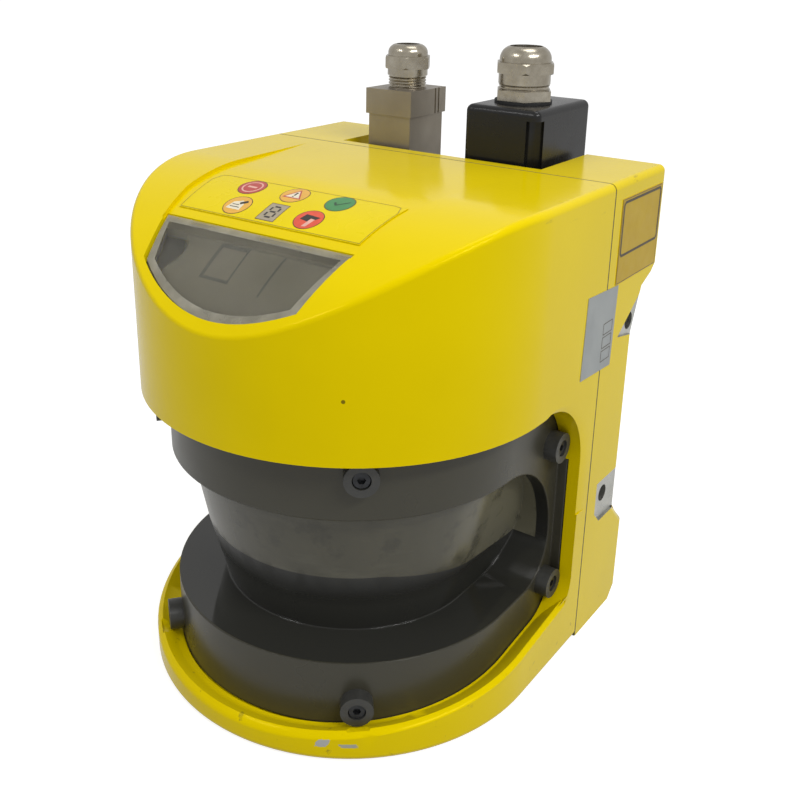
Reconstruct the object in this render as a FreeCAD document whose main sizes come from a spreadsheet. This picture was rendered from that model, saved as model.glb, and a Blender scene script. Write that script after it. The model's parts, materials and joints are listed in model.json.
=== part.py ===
import FreeCAD, Part
import Sketcher
import math
import os
import re

# Safety laser scanner, about 155 mm wide, 185 mm high and 169 mm deep with its two plugs.
# The scan axis is the Z axis, the base plane is z = 0 and the front looks along -Y.
# All sizes are millimetres.

os.makedirs("parts", exist_ok=True)
V = FreeCAD.Vector
doc = FreeCAD.newDocument("safety_laser_scanner")
sheet = doc.addObject("Spreadsheet::Sheet", "sizes")

SIZES = {
    # Whole device
    "head_radius": 77.5,
    "total_height": 185,
    "beyond": 1,
    "parting_y": 45,
    "gasket_thick": 0.8,
    "edge_round": 2.6,
    "base_round": 3,
    "crown_radius": 91,
    "crown_y": -5,
    "screw_clearance": 0.15,
    "touch_gap": 0.01,
    # Front shell
    "head_bottom": 112,
    "head_wall": 3.5,
    "front_step": 17.5,
    "cover_step": 9.5,
    "flange_step": 5.5,
    "frame_step": 13.5,
    "flange_window_step": 16.5,
    "plate_hole_step": 23.5,
    "floor_recess_step": 19.5,
    "optics_plate_step": 17.5,
    "bay_step": 32,
    "join_step": 9.5,
    "roof_thick": 6.5,
    "plate_low": 118,
    "plate_high": 121,
    "floor_high": 7,
    "floor_low": 4.5,
    "opening_rear": 36.5,
    "opening_corner": 30,
    "lower_corner": 16,
    "rim_foot_step": 8.2,
    "rim_crest_step": 1.5,
    "rim_front_step": 15.5,
    "rim_foot_front": 8.3,
    "rim_foot_slope": 0.1,
    "rim_crest_front": 12,
    "rim_crest_slope": 0.123,
    "rim_round": 1.2,
    "rim_shoulder_wide": 3.6,
    "rim_shoulder_proud": 0.6,
    "rim_shoulder_drop": 3,
    "rim_notch_radius": 6.4,
    "frame_window_low": 12,
    "flare_inset": 0.6,
    "flare_reach": 0.7,
    "flare_shift": 6,
    "flare_growth": 1,
    "flare_foot": 60,
    # Cover of the optics
    "cover_gap": 0.4,
    "cover_low": 8,
    "cover_high": 117,
    "cover_wall": 2.5,
    "waist_low_step": 28,
    "waist_mid_step": 21.5,
    "window_top_step": 15.5,
    "slot_top": 88,
    "slot_bottom": 33,
    "waist_mid_z": 58,
    "slot_upper_arc": 36,
    "slot_lower_arc": 17,
    "slot_rear": 33.2,
    "flange_thick": 3.7,
    # Screws of the cover
    "bush_radius": 5.75,
    "bush_high": 5,
    "bush_counterbore": 3.1,
    "bush_floor": 1.4,
    "screw_head_radius": 2.75,
    "screw_head_high": 3,
    "screw_radius": 1.5,
    "screw_length": 10,
    "screw_boss_radius": 4,
    "screw_boss_deep": 8,
    "hex_socket_width": 2.5,
    "hex_socket_deep": 1.5,
    "front_upper_angle": 39,
    "front_lower_angle": 38.3,
    "front_upper_z": 105,
    "front_lower_z": 17,
    "rear_upper_y": 29.2,
    "rear_upper_z": 89.7,
    "rear_lower_y": 30.3,
    "rear_lower_z": 31.4,
    # Operating panel
    "panel_deep": 1.2,
    "panel_front_y": -50,
    "panel_shift": -4,
    "panel_front_half": 40,
    "panel_middle_half": 44,
    "panel_middle_y": -34,
    "panel_rear_half": 48.5,
    "panel_rear_y": 36,
    "window_rear_y": -47.2,
    "window_rear_half": 40.2,
    "window_front_half": 34,
    "window_front_radius": 74.3,
    "window_gap": 0.3,
    "window_thick": 3,
    "window_bevel": 1.1,
    "seat_inset": 2.5,
    "label_rear_y": -20.8,
    "label_rear_half": 40.5,
    "label_front_y": -43.4,
    "label_front_half": 38.4,
    "foil_thick": 0.3,
    "foil_lift": 0.1,
    "lamp_radius": 2.4,
    "lamp_rear_y": -26,
    "lamp_front_y": -37.3,
    "lamp_rear_x": 19,
    "lamp_front_x": 15.3,
    "guide_gap": 1.6,
    "guide_front_y": -63.5,
    "guide_thick": 2.4,
    "digit_x": -12.5,
    "digit_y": -54,
    "digit_wide": 10.5,
    "digit_long": 14,
    "digit_deep": 8,
    "digit_drop": 0.4,
    "guide_side_x": -33.8,
    "guide_leg_y": -56.5,
    "guide_leg_half": 1.5,
    "guide_leg_x": 26,
    "tooth_low": 12.6,
    "tooth_high": 10.4,
    "lamp_recess": 3,
    # Rear shell
    "foot_rear": 84,
    "foot_high": 37,
    "foot_step_high": 47,
    "foot_chamfer": 4,
    "waist_rear": 73.5,
    "block_low": 122,
    "block_corner_y": 80,
    "block_corner_z": 139,
    "block_shoulder_y": 88,
    "block_shoulder_z": 142.5,
    "block_rear": 92,
    "block_rear_z": 146,
    "rear_wall": 4,
    "bay_front": 51,
    "bay_floor": 150,
    "lug_deep": 5,
    "upper_lug_deep": 5.6,
    "lug_hole_radius": 3.4,
    "lug_hole_deep": 9,
    "upper_hole_deep": 7.6,
    "lower_lug_y": 61.6,
    "lower_lug_z": 58,
    "lower_lug_front": 53.6,
    "lower_lug_low": 47,
    "lower_lug_high": 65.5,
    "upper_lug_y": 70.6,
    "upper_lug_z": 128.2,
    "lug_block_wide": 13,
    "lug_margin": 3,
    "lug_corner": 5,
    "upper_tip_y": 11.6,
    "upper_tip_z": 3.3,
    "upper_foot_y": 6.4,
    "upper_foot_z": 6.7,
    "upper_end_y": 13.4,
    "upper_end_z": 9.3,
    "upper_top_y": 7.9,
    "upper_top_z": 10.3,
    "upper_block_y": 13,
    "upper_block_z": 9,
    "rear_hole_x": 26,
    "rear_hole_z": 72,
    "rear_hole_radius": 2.5,
    "rear_hole_deep": 8,
    "rear_boss_radius": 6,
    "join_low_z": 20,
    "join_high_z": 163,
    "join_boss_radius": 6.4,
    "join_screw_radius": 2.5,
    "join_head_radius": 4.25,
    "join_head_high": 4,
    "join_head_gap": 0.4,
    "join_key_width": 4,
    "join_key_deep": 2,
    "join_boss_long": 14,
    "join_low_deep": 4.3,
    "join_high_deep": 12,
    "join_low_tip": 4,
    "join_high_tip": 11,
    # Stickers
    "side_label_front": 52,
    "side_label_rear": 88.5,
    "side_label_low": 147,
    "side_label_high": 178.5,
    "sticker_front": 28.5,
    "sticker_rear": 53.5,
    "sticker_low": 116,
    "sticker_high": 146.5,
    "sticker_lean": 1.4,
    # Small plug
    "small_left": -34.5,
    "small_right": -14.6,
    "small_front": 54,
    "small_rear": 77.4,
    "small_high": 207,
    "small_step_z": 197,
    "small_step": 0.9,
    "rib_wide": 0.9,
    "rib_deep": 0.4,
    "rib_first": 5,
    "rib_second": 7.4,
    "hood_low": 152,
    "hood_wall": 2,
    "small_axis_x": -23.8,
    "small_axis_y": 65.2,
    "small_thread_radius": 7.2,
    "small_bore_radius": 4.6,
    "small_neck_high": 5,
    "small_collar_radius": 8,
    "small_collar_high": 2.7,
    "small_nut_width": 17,
    "small_nut_high": 4.8,
    "small_dome_high": 4.5,
    "small_dome_radius": 7.9,
    "small_seal_drop": 1.2,
    # Large plug
    "large_left": 10.2,
    "large_right": 41.6,
    "large_front": 54,
    "large_rear": 98,
    "large_high": 205,
    "large_round": 2.6,
    "large_wall": 5.2,
    "channel_radius": 3.6,
    "channel_inset": 1.6,
    "channel_low": 156,
    "channel_high": 201,
    "channel_screw_radius": 2.6,
    "channel_screw_high": 3,
    "slot_half_long": 2,
    "slot_half_wide": 0.35,
    "slot_deep": 1,
    "large_axis_x": 24.6,
    "large_axis_y": 73.4,
    "large_washer_high": 1,
    "large_washer_radius": 11,
    "large_thread_radius": 9.4,
    "large_bore_radius": 6.2,
    "large_body_width": 20,
    "large_body_high": 3.8,
    "large_neck_high": 2.2,
    "large_collar_radius": 9.9,
    "large_collar_high": 4,
    "large_nut_width": 21,
    "large_nut_high": 4,
    "large_dome_high": 6,
    "large_dome_radius": 9.8,
    "large_seal_drop": 1.4,
    "gland_reach": 8,
    "thread_reach": 4,
    "dome_base": 0.4,
    "dome_flat": 1,
    "corner_cut": 0.8,
    "corner_share": 0.54,
    "corner_gap": 0.1,
    # Connectors in the bay floor
    "small_socket_half_x": 6,
    "large_socket_half_x": 9,
    "socket_front": 57,
    "socket_rear": 68.2,
    "plug_half_y": 9,
    "socket_low": 138,
    "socket_gap": 0.2,
    "plug_high": 168,
    "plate_inset": 1,
    # Optics and drive
    "optics_plate_thick": 2.5,
    "lens_radius": 29,
    "lens_flange_radius": 31,
    "lens_flange_thick": 2,
    "lens_low": 114,
    "laser_radius": 8,
    "laser_low": 109,
    "laser_high": 129,
    "laser_flange_radius": 10,
    "laser_flange_thick": 1.5,
    "lens_rim": 4,
    "receiver_board_low": 133,
    "board_thick": 1.6,
    "receiver_board_radius": 48,
    "indicator_board_low": 138,
    "indicator_board_half": 36.5,
    "indicator_board_front": -60,
    "indicator_board_rear": 12,
    "post_radius": 2.5,
    "post_x": 33.6,
    "post_front_y": -30,
    "post_rear_y": 6,
    "bracket_radius": 40,
    "bracket_high": 7.5,
    "motor_radius": 21,
    "motor_high": 22.5,
    "shaft_radius": 2.5,
    "shaft_gap": 0.05,
    "shaft_low": 9,
    "shaft_high": 35,
    "disc_low": 24.6,
    "disc_thick": 0.8,
    "disc_radius": 26,
    "hub_radius": 9,
    "holder_low": 28,
    "holder_radius": 20,
    "mirror_radius": 25,
    "mirror_thick": 3,
    "mirror_z": 60,
    "barrier_inner": 19,
    "barrier_outer": 33,
    "barrier_half": 5,
    "barrier_low": 22.8,
    "barrier_high": 27.2,
    "barrier_gap": 0.6,
    "board_half": 50,
    "main_board_low": 22,
    "main_board_high": 116,
    "main_board_y": 60,
    "main_post_x": 44,
    "main_post_low_z": 58,
    "main_post_high_z": 108,
}

# Sizes that follow the width of the head, each with a named step in from its side.
FOLLOWING = {
    "front_far": "-head_radius - front_step",
    "rim_foot_radius": "head_radius - rim_foot_step",
    "rim_crest_radius": "head_radius - rim_crest_step",
    "rim_front_y": "rim_front_step - head_radius",
    "cover_radius": "head_radius - cover_step",
    "flange_half": "head_radius - flange_step",
    "frame_window_half": "head_radius - frame_step",
    "flange_window_half": "head_radius - flange_window_step",
    "plate_hole_radius": "head_radius - plate_hole_step",
    "floor_recess_radius": "head_radius - floor_recess_step",
    "optics_plate_radius": "head_radius - optics_plate_step",
    "waist_low_radius": "head_radius - waist_low_step",
    "waist_mid_radius": "head_radius - waist_mid_step",
    "window_top_radius": "head_radius - window_top_step",
    "flare_inner_half": "head_radius - flare_inset",
    "bay_half": "head_radius - bay_step",
    "join_x": "head_radius - join_step",
}

for row, (alias, number) in enumerate({**SIZES, **FOLLOWING}.items(), start=1):
    cell = "A%d" % row
    sheet.set(cell, str(number) if alias in SIZES else "=" + number)
    sheet.setAlias(cell, alias)
doc.recompute()

FULL_TURN = 360
QUARTER_TURN = 90
SAME_POINT = 1e-6
ORIGIN_POINT = (-1, 1)
counter = [0]


def full(text):
    """Name the sheet in front of every size that the expression uses."""
    def named(found):
        word = found.group(0)
        return "sizes." + word if word in SIZES or word in FOLLOWING else word
    return re.sub(r"[a-z_]+", named, text)


def value(text):
    """Work out an expression of sizes."""
    return float(sheet.evalExpression(full(text)))


def fresh(name):
    """Give every helper object a name of its own."""
    counter[0] += 1
    return "%s_%d" % (name, counter[0])


def body(name):
    return doc.addObject("PartDesign::Body", fresh(name))


def new_sketch(owner, role, offset=None, slope=None):
    """Lay a sketch on an origin plane of the body, shifted or sloped about X where asked."""
    sketch = owner.newObject("Sketcher::SketchObject", fresh("outline"))
    plane = [item for item in owner.Origin.OriginFeatures if item.Role == role][0]
    sketch.AttachmentSupport = [(plane, "")]
    sketch.MapMode = "FlatFace"
    if slope is not None:
        lean = math.degrees(math.atan(value(slope)))
        sketch.AttachmentOffset = FreeCAD.Placement(V(0, 0, 0), FreeCAD.Rotation(V(1, 0, 0), lean))
    if offset is not None:
        sketch.setExpression("AttachmentOffset.Base.z", full(offset))
    return sketch


def hold(sketch, kind, geometry, point, text):
    """Fix one coordinate of a point of the sketch to an expression. Axis -1 is flat, -2 upright."""
    number = value(text)
    if abs(number) < SAME_POINT:
        axis = -2 if kind == "DistanceX" else -1
        sketch.addConstraint(Sketcher.Constraint("PointOnObject", geometry, point, axis))
        return
    place = sketch.addConstraint(Sketcher.Constraint(kind, *ORIGIN_POINT, geometry, point, number))
    sketch.setExpression("Constraints[%d]" % place, full(text))


def arc_between(start, end, radius, turn):
    """Arc from start to end, turn +1 against the clock and -1 with it."""
    chord = math.dist(start, end)
    rise = math.sqrt(max(radius ** 2 - (chord / 2) ** 2, 0))
    along = ((end[0] - start[0]) / chord, (end[1] - start[1]) / chord)
    middle = ((start[0] + end[0]) / 2, (start[1] + end[1]) / 2)
    centre = (middle[0] - turn * rise * along[1], middle[1] + turn * rise * along[0])
    first, last = (start, end) if turn > 0 else (end, start)
    angle_first = math.atan2(first[1] - centre[1], first[0] - centre[0])
    angle_last = math.atan2(last[1] - centre[1], last[0] - centre[0])
    if angle_last < angle_first:
        angle_last += 2 * math.pi
    circle = Part.Circle(V(centre[0], centre[1], 0), V(0, 0, 1), radius)
    return Part.ArcOfCircle(circle, angle_first, angle_last)


def profile(owner, role, points, offset=None):
    """Closed outline. A point is (x, y) or (x, y, radius, turn) when an arc leaves from it."""
    sketch = new_sketch(owner, role, offset)
    spots = [(value(point[0]), value(point[1])) for point in points]
    count = len(points)
    ends = []
    for index, point in enumerate(points):
        start = spots[index]
        end = spots[(index + 1) % count]
        if len(point) == 2:
            sketch.addGeometry(Part.LineSegment(V(*start, 0), V(*end, 0)), False)
            ends.append((1, 2))
        else:
            sketch.addGeometry(arc_between(start, end, value(point[2]), point[3]), False)
            ends.append((1, 2) if point[3] > 0 else (2, 1))
    for index in range(count):
        after = (index + 1) % count
        joint = Sketcher.Constraint("Coincident", index, ends[index][1], after, ends[after][0])
        sketch.addConstraint(joint)
    for index, point in enumerate(points):
        hold(sketch, "DistanceX", index, ends[index][0], point[0])
        hold(sketch, "DistanceY", index, ends[index][0], point[1])
        if len(point) > 2:
            place = sketch.addConstraint(Sketcher.Constraint("Radius", index, value(point[2])))
            sketch.setExpression("Constraints[%d]" % place, full(point[2]))
    return sketch


def d_outline(owner, radius, rear, offset=None, slope=None):
    """Half circle at the front with straight sides that run back to the rear line."""
    sketch = new_sketch(owner, "XY_Plane", offset, slope)
    wide = value(radius)
    back = value(rear)
    front = Part.ArcOfCircle(Part.Circle(V(0, 0, 0), V(0, 0, 1), wide), math.pi, 2 * math.pi)
    arc = sketch.addGeometry(front, False)
    right = sketch.addGeometry(Part.LineSegment(V(wide, 0, 0), V(wide, back, 0)), False)
    line = sketch.addGeometry(Part.LineSegment(V(wide, back, 0), V(-wide, back, 0)), False)
    left = sketch.addGeometry(Part.LineSegment(V(-wide, back, 0), V(-wide, 0, 0)), False)
    sketch.addConstraint(Sketcher.Constraint("Coincident", arc, 3, *ORIGIN_POINT))
    sketch.addConstraint(Sketcher.Constraint("Coincident", arc, 2, right, 1))
    sketch.addConstraint(Sketcher.Constraint("Coincident", right, 2, line, 1))
    sketch.addConstraint(Sketcher.Constraint("Coincident", line, 2, left, 1))
    sketch.addConstraint(Sketcher.Constraint("Coincident", left, 2, arc, 1))
    sketch.addConstraint(Sketcher.Constraint("PointOnObject", arc, 1, -1))
    sketch.addConstraint(Sketcher.Constraint("PointOnObject", arc, 2, -1))
    sketch.addConstraint(Sketcher.Constraint("Vertical", right))
    sketch.addConstraint(Sketcher.Constraint("Vertical", left))
    sketch.addConstraint(Sketcher.Constraint("Horizontal", line))
    place = sketch.addConstraint(Sketcher.Constraint("Radius", arc, wide))
    sketch.setExpression("Constraints[%d]" % place, full(radius))
    hold(sketch, "DistanceY", line, 1, rear)
    return sketch


def pad(owner, sketch, length, both=False):
    feature = owner.newObject("PartDesign::Pad", fresh("pad"))
    feature.Profile = sketch
    feature.Midplane = both
    feature.setExpression("Length", full(length))
    return feature


def pocket(owner, sketch, length, both=False, reverse=False):
    feature = owner.newObject("PartDesign::Pocket", fresh("pocket"))
    feature.Profile = sketch
    feature.Midplane = both
    feature.Reversed = reverse
    feature.setExpression("Length", full(length))
    return feature


def loft(owner, sketches):
    feature = owner.newObject("PartDesign::AdditiveLoft", fresh("loft"))
    feature.Profile = sketches[0]
    feature.Sections = sketches[1:]
    feature.Ruled = True
    return feature


def edge_work(owner, kind, size, wanted):
    """Fillet or chamfer the edges of the body whose middle passes the test."""
    doc.recompute()
    feature = owner.Tip
    names = []
    for index, edge in enumerate(feature.Shape.Edges, start=1):
        if wanted(edge.valueAt((edge.FirstParameter + edge.LastParameter) / 2), edge):
            names.append("Edge%d" % index)
    if not names:
        raise RuntimeError("no edge found on " + owner.Name)
    work = owner.newObject("PartDesign::" + kind, fresh(kind.lower()))
    work.Base = (feature, names)
    work.setExpression("Radius" if kind == "Fillet" else "Size", full(size))
    return work


def bind_place(thing, x, y, z):
    for axis, text in (("x", x), ("y", y), ("z", z)):
        thing.setExpression("Placement.Base." + axis, full(text))


def box(x_low, x_high, y_low, y_high, z_low, z_high):
    thing = doc.addObject("Part::Box", fresh("block"))
    thing.setExpression("Length", full("(%s) - (%s)" % (x_high, x_low)))
    thing.setExpression("Width", full("(%s) - (%s)" % (y_high, y_low)))
    thing.setExpression("Height", full("(%s) - (%s)" % (z_high, z_low)))
    bind_place(thing, x_low, y_low, z_low)
    return thing


TURNS = {
    "x": FreeCAD.Rotation(V(0, 1, 0), QUARTER_TURN),
    "y": FreeCAD.Rotation(V(1, 0, 0), -QUARTER_TURN),
    "z": FreeCAD.Rotation(),
}


def cylinder(axis, radius, length, x, y, z):
    """Cylinder that starts at the point and runs in the plus direction of the axis."""
    thing = doc.addObject("Part::Cylinder", fresh("round"))
    thing.setExpression("Radius", full(radius))
    thing.setExpression("Height", full(length))
    thing.Placement = FreeCAD.Placement(V(0, 0, 0), TURNS[axis])
    bind_place(thing, x, y, z)
    return thing


def hexagon(width, length, x, y, z, axis="z"):
    """Hexagon prism, its width measured across the flats."""
    thing = doc.addObject("Part::Prism", fresh("hexagon"))
    thing.Polygon = 6
    thing.setExpression("Circumradius", full("(%s) / sqrt(3)" % width))
    thing.setExpression("Height", full(length))
    thing.Placement = FreeCAD.Placement(V(0, 0, 0), TURNS[axis])
    bind_place(thing, x, y, z)
    return thing


def turned(points, x="0", y="0", z="0"):
    """Turned piece from a half profile of (radius, height) points."""
    owner = body("turned")
    outline = profile(owner, "XZ_Plane", points)
    feature = owner.newObject("PartDesign::Revolution", fresh("turning"))
    feature.Profile = outline
    feature.ReferenceAxis = (outline, ["V_Axis"])
    feature.Angle = FULL_TURN
    bind_place(owner, x, y, z)
    return owner


def fuse(*things):
    if len(things) == 1:
        return things[0]
    joined = doc.addObject("Part::MultiFuse", fresh("joined"))
    joined.Shapes = list(things)
    joined.Refine = True
    return joined


def cut(base, *tools):
    rest = doc.addObject("Part::Cut", fresh("rest"))
    rest.Base = base
    rest.Tool = fuse(*tools)
    rest.Refine = True
    return rest


def common(*things):
    shared = doc.addObject("Part::MultiCommon", fresh("shared"))
    shared.Shapes = list(things)
    shared.Refine = True
    return shared


def group(*things):
    together = doc.addObject("Part::Compound", fresh("together"))
    together.Links = list(things)
    return together


nodes = {}


def node(name, thing):
    """Take the finished object into the part under its own name."""
    thing.Label = name
    nodes[name] = thing
    return thing


WIDE = "3 * head_radius"


def crown_solid(radius, rear, rear_high):
    """Everything below the curved top, wide enough to cut or to trim the head."""
    owner = body("crown")
    outline = profile(owner, "YZ_Plane", [
        ("crown_y", "total_height - crown_radius + (%s)" % radius, radius, 1),
        ("crown_y - (%s)" % radius, "total_height - crown_radius"),
        ("crown_y - (%s)" % radius, "0"),
        (rear, "0"),
        (rear, rear_high),
    ])
    pad(owner, outline, WIDE, both=True)
    return owner


def crown_shell(outer, inner):
    """Curved sheet between two radii of the top."""
    rear = "parting_y"
    over = crown_solid(outer, rear, "total_height - crown_radius + (%s)" % outer)
    under = crown_solid(inner, rear, "total_height - crown_radius + (%s)" % inner)
    return cut(over, under)


# Front shell: the outline with the curved top is rounded first, then everything is cut out of it.
shell = body("front_shell")
pad(shell, d_outline(shell, "head_radius", "parting_y"), "total_height")
above = profile(shell, "YZ_Plane", [
    ("crown_y", "total_height", "crown_radius", 1),
    ("crown_y - crown_radius", "total_height - crown_radius"),
    ("crown_y - crown_radius", "total_height + roof_thick"),
    ("crown_y", "total_height + roof_thick"),
])
pocket(shell, above, WIDE, both=True)
SIDE_TEST = value("head_radius - beyond")
CROWN_LOW = value("total_height - crown_radius") + value("head_wall")
REAR_TEST = value("parting_y - beyond")


def top_edge(middle, edge):
    """True for the long edges between the curved or flat top and the side wall."""
    on_wall = math.hypot(middle.x, min(middle.y, 0)) > SIDE_TEST
    flat_end = abs(middle.y) < SAME_POINT and middle.z < CROWN_LOW
    return on_wall and middle.z > CROWN_LOW and middle.y < REAR_TEST and not flat_end \
        and edge.BoundBox.XLength + edge.BoundBox.YLength > value("beyond")


edge_work(shell, "Fillet", "edge_round", top_edge)
edge_work(shell, "Fillet", "base_round", lambda middle, edge:
          middle.z < SAME_POINT and middle.y < REAR_TEST)

RIM_FOOT = "rim_foot_front + rim_foot_slope * (%s - rim_front_y)"
RIM_CREST = "rim_crest_front + rim_crest_slope * (%s - rim_front_y)"
OUTER_RADIUS = "(2 * rim_crest_radius - rim_foot_radius)"
OUTER_SLOPE = "(2 * rim_crest_slope - rim_foot_slope)"
OUTER_HIGH = "(2 * (%s) - (%s))" % (RIM_CREST % "0", RIM_FOOT % "0")

# The opening is a slot through the whole width, limited below by the sloping inside of the rim.
slot = body("opening_slot")
pad(slot, profile(slot, "YZ_Plane", [
    ("front_far", RIM_FOOT % "front_far"),
    ("opening_rear", RIM_FOOT % "opening_rear"),
    ("opening_rear", "head_bottom - opening_corner", "opening_corner", 1),
    ("opening_rear - opening_corner", "head_bottom"),
    ("front_far", "head_bottom"),
]), WIDE, both=True)
edge_work(slot, "Fillet", "lower_corner", lambda middle, edge:
          abs(middle.y - value("opening_rear")) < value("beyond") and middle.z < value("slot_bottom")
          and edge.BoundBox.XLength > value("beyond"))

bowl = body("rim_bowl")
bowl_rear = "opening_rear + 2 * lower_corner"
loft(bowl, [
    d_outline(bowl, "rim_foot_radius", bowl_rear, RIM_FOOT % "0", "rim_foot_slope"),
    d_outline(bowl, OUTER_RADIUS, bowl_rear, OUTER_HIGH, OUTER_SLOPE),
    d_outline(bowl, OUTER_RADIUS, bowl_rear, "head_bottom + edge_round"),
])
opening = common(slot, bowl)

# The outer edge of the rim is rounded in steps that follow its slope.
SHOULDER_STEPS = 4
SHOULDER_LOW = "(%s) - rim_shoulder_drop" % (RIM_CREST % "0")
rim_block = body("rim_block")
pad(rim_block, d_outline(rim_block, "head_radius + beyond", bowl_rear), "rim_foot_front + lower_corner")
kept = body("rim_kept")
SHOULDER_OUTER = "head_radius + rim_shoulder_proud"
rings = [d_outline(kept, SHOULDER_OUTER, bowl_rear, "-lower_corner", "rim_crest_slope")]
for step in range(SHOULDER_STEPS + 1):
    turn = math.pi / 2 * step / SHOULDER_STEPS
    inwards = SHOULDER_OUTER + " - rim_shoulder_wide * %.4f" % (1 - math.cos(turn))
    upwards = SHOULDER_LOW + " + rim_shoulder_drop * %.4f" % math.sin(turn)
    rings.append(d_outline(kept, inwards, bowl_rear, upwards, "rim_crest_slope"))
rings.append(d_outline(kept, SHOULDER_OUTER + " - rim_shoulder_wide", bowl_rear, "3 * lower_corner",
                       "rim_crest_slope"))
loft(kept, rings)
rim_shoulder = common(slot, cut(rim_block, kept))

# Space for the cover, the flange behind it, the hole in the plate and the windows of the frame.
cover_space = body("cover_space")
space_outline = d_outline(cover_space, "cover_radius + cover_gap", "opening_rear", "floor_high")
pad(cover_space, space_outline, "plate_low - floor_high")
flange_space = box("-flange_half - cover_gap", "flange_half + cover_gap",
                   "opening_rear", "opening_rear + flange_thick + cover_gap",
                   "floor_high", "plate_low")
frame_window = box("-frame_window_half", "frame_window_half",
                   "opening_rear", "parting_y + rear_wall",
                   "frame_window_low", "head_bottom")
plate_hole = cylinder("z", "plate_hole_radius", "plate_high - plate_low + 2 * beyond", "0", "0",
                      "plate_low - beyond")
floor_space = body("floor_space")
floor_outline = d_outline(floor_space, "floor_recess_radius", "opening_rear - rear_wall", "floor_low")
pad(floor_space, floor_outline, "floor_high - floor_low + beyond")

head_space = body("head_space")
head_outline = d_outline(head_space, "head_radius - head_wall", "parting_y + rear_wall", "plate_high")
pad(head_space, head_outline, "total_height - roof_thick - plate_high")
inside_crown = crown_solid("crown_radius - roof_thick", "parting_y + rear_wall", "total_height - roof_thick")
head_cavity = common(head_space, inside_crown)

# The flare at the upper rear corner of the opening widens outwards and runs down as a chamfer.
flares = []
for side in (-1, 1):
    inner_x = "%d * flare_inner_half" % side
    outer_x = "%d * (flare_inner_half + 2 * flare_reach)" % side
    rings = []
    for step, x in enumerate((inner_x, outer_x)):
        ring = doc.addObject("Part::Circle", fresh("flare_ring"))
        ring.Placement = FreeCAD.Placement(V(0, 0, 0), TURNS["x"])
        ring.setExpression("Radius", full("opening_corner + %d * 2 * flare_growth" % step))
        bind_place(ring, x, "opening_rear - opening_corner + %d * 2 * flare_shift" % step,
                   "head_bottom - opening_corner")
        rings.append(ring)
    cone = doc.addObject("Part::Loft", fresh("flare_cone"))
    cone.Sections = rings
    cone.Solid = True
    cone.Ruled = True
    low_side, high_side = (inner_x, outer_x) if side > 0 else (outer_x, inner_x)
    upper_half = box(low_side, high_side, "0", "parting_y - rim_round",
                     "head_bottom - opening_corner", "head_bottom + edge_round")
    edge_strip = body("flare_edge")
    strip_outline = profile(edge_strip, "XY_Plane", [
        (inner_x, "opening_rear"),
        (outer_x, "opening_rear + 2 * (flare_shift + flare_growth)"),
        (outer_x, "opening_rear"),
    ], "flare_foot")
    pad(edge_strip, strip_outline, "head_bottom - opening_corner - flare_foot")
    flares.append(common(cone, upper_half))
    flares.append(edge_strip)

# Recess of the operating panel, hole and seat of the display window.
panel_floor = crown_solid("crown_radius - panel_deep", "panel_rear_y", "total_height")
panel_plan = body("panel_plan")
pad(panel_plan, profile(panel_plan, "XY_Plane", [
    ("panel_shift - panel_front_half", "panel_front_y"),
    ("panel_shift + panel_front_half", "panel_front_y"),
    ("panel_shift + panel_middle_half", "panel_middle_y"),
    ("panel_shift + panel_rear_half", "panel_rear_y"),
    ("panel_shift - panel_rear_half", "panel_rear_y"),
    ("panel_shift - panel_middle_half", "panel_middle_y"),
], "head_bottom"), "total_height - head_bottom + beyond")
panel_recess = cut(panel_plan, panel_floor)


def window_plan(grow, rear_grow):
    """Upright prism over the outline of the display window."""
    owner = body("window_plan")
    circle = "(window_front_radius + (%s))" % grow
    half = "(window_front_half + (%s))" % grow
    left = "(panel_shift - %s)" % half
    right = "(panel_shift + %s)" % half
    outline = profile(owner, "XY_Plane", [
        (left, "-sqrt(%s ^ 2 - %s ^ 2)" % (circle, left), circle, 1),
        (right, "-sqrt(%s ^ 2 - %s ^ 2)" % (circle, right)),
        ("panel_shift + window_rear_half + (%s)" % grow, "window_rear_y + (%s)" % rear_grow),
        ("panel_shift - window_rear_half - (%s)" % grow, "window_rear_y + (%s)" % rear_grow),
    ], "head_bottom")
    pad(owner, outline, "total_height - head_bottom + beyond")
    return owner


hole_prism = window_plan("window_gap", "window_gap")
seat_radius = "(crown_radius - panel_deep - window_thick)"
window_hole = cut(hole_prism, crown_solid(seat_radius, "parting_y", "total_height"))
seat_hole = window_plan("-seat_inset", "-seat_inset")


def radial(thing, angle, y, z):
    """Turn a piece that was made on the front centre line about the scan axis."""
    thing.Placement = FreeCAD.Placement(V(0, 0, 0), FreeCAD.Rotation(V(0, 0, 1), QUARTER_TURN))
    thing.setExpression("Placement.Rotation.Angle", full(angle))
    bind_place(thing, "0", y, z)
    return thing


# Places of the cover's screws: turn about the scan axis, shift along Y, height, and if the seat is round.
SCREW_PLACES = []
for side in ("-", ""):
    SCREW_PLACES.append((side + "front_upper_angle", "0", "front_upper_z", True))
    SCREW_PLACES.append((side + "front_lower_angle", "0", "front_lower_z", True))
    SCREW_PLACES.append((side + "%d" % QUARTER_TURN, "rear_upper_y", "rear_upper_z", False))
    SCREW_PLACES.append((side + "%d" % QUARTER_TURN, "rear_lower_y", "rear_lower_z", False))

notches = []
for side in ("-", ""):
    notch = cylinder("y", "rim_notch_radius", "rim_crest_radius - cover_radius + beyond",
                     "0", "-rim_crest_radius", "0")
    notches.append(radial(group(notch), side + "front_lower_angle", "0", "front_lower_z"))

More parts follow.
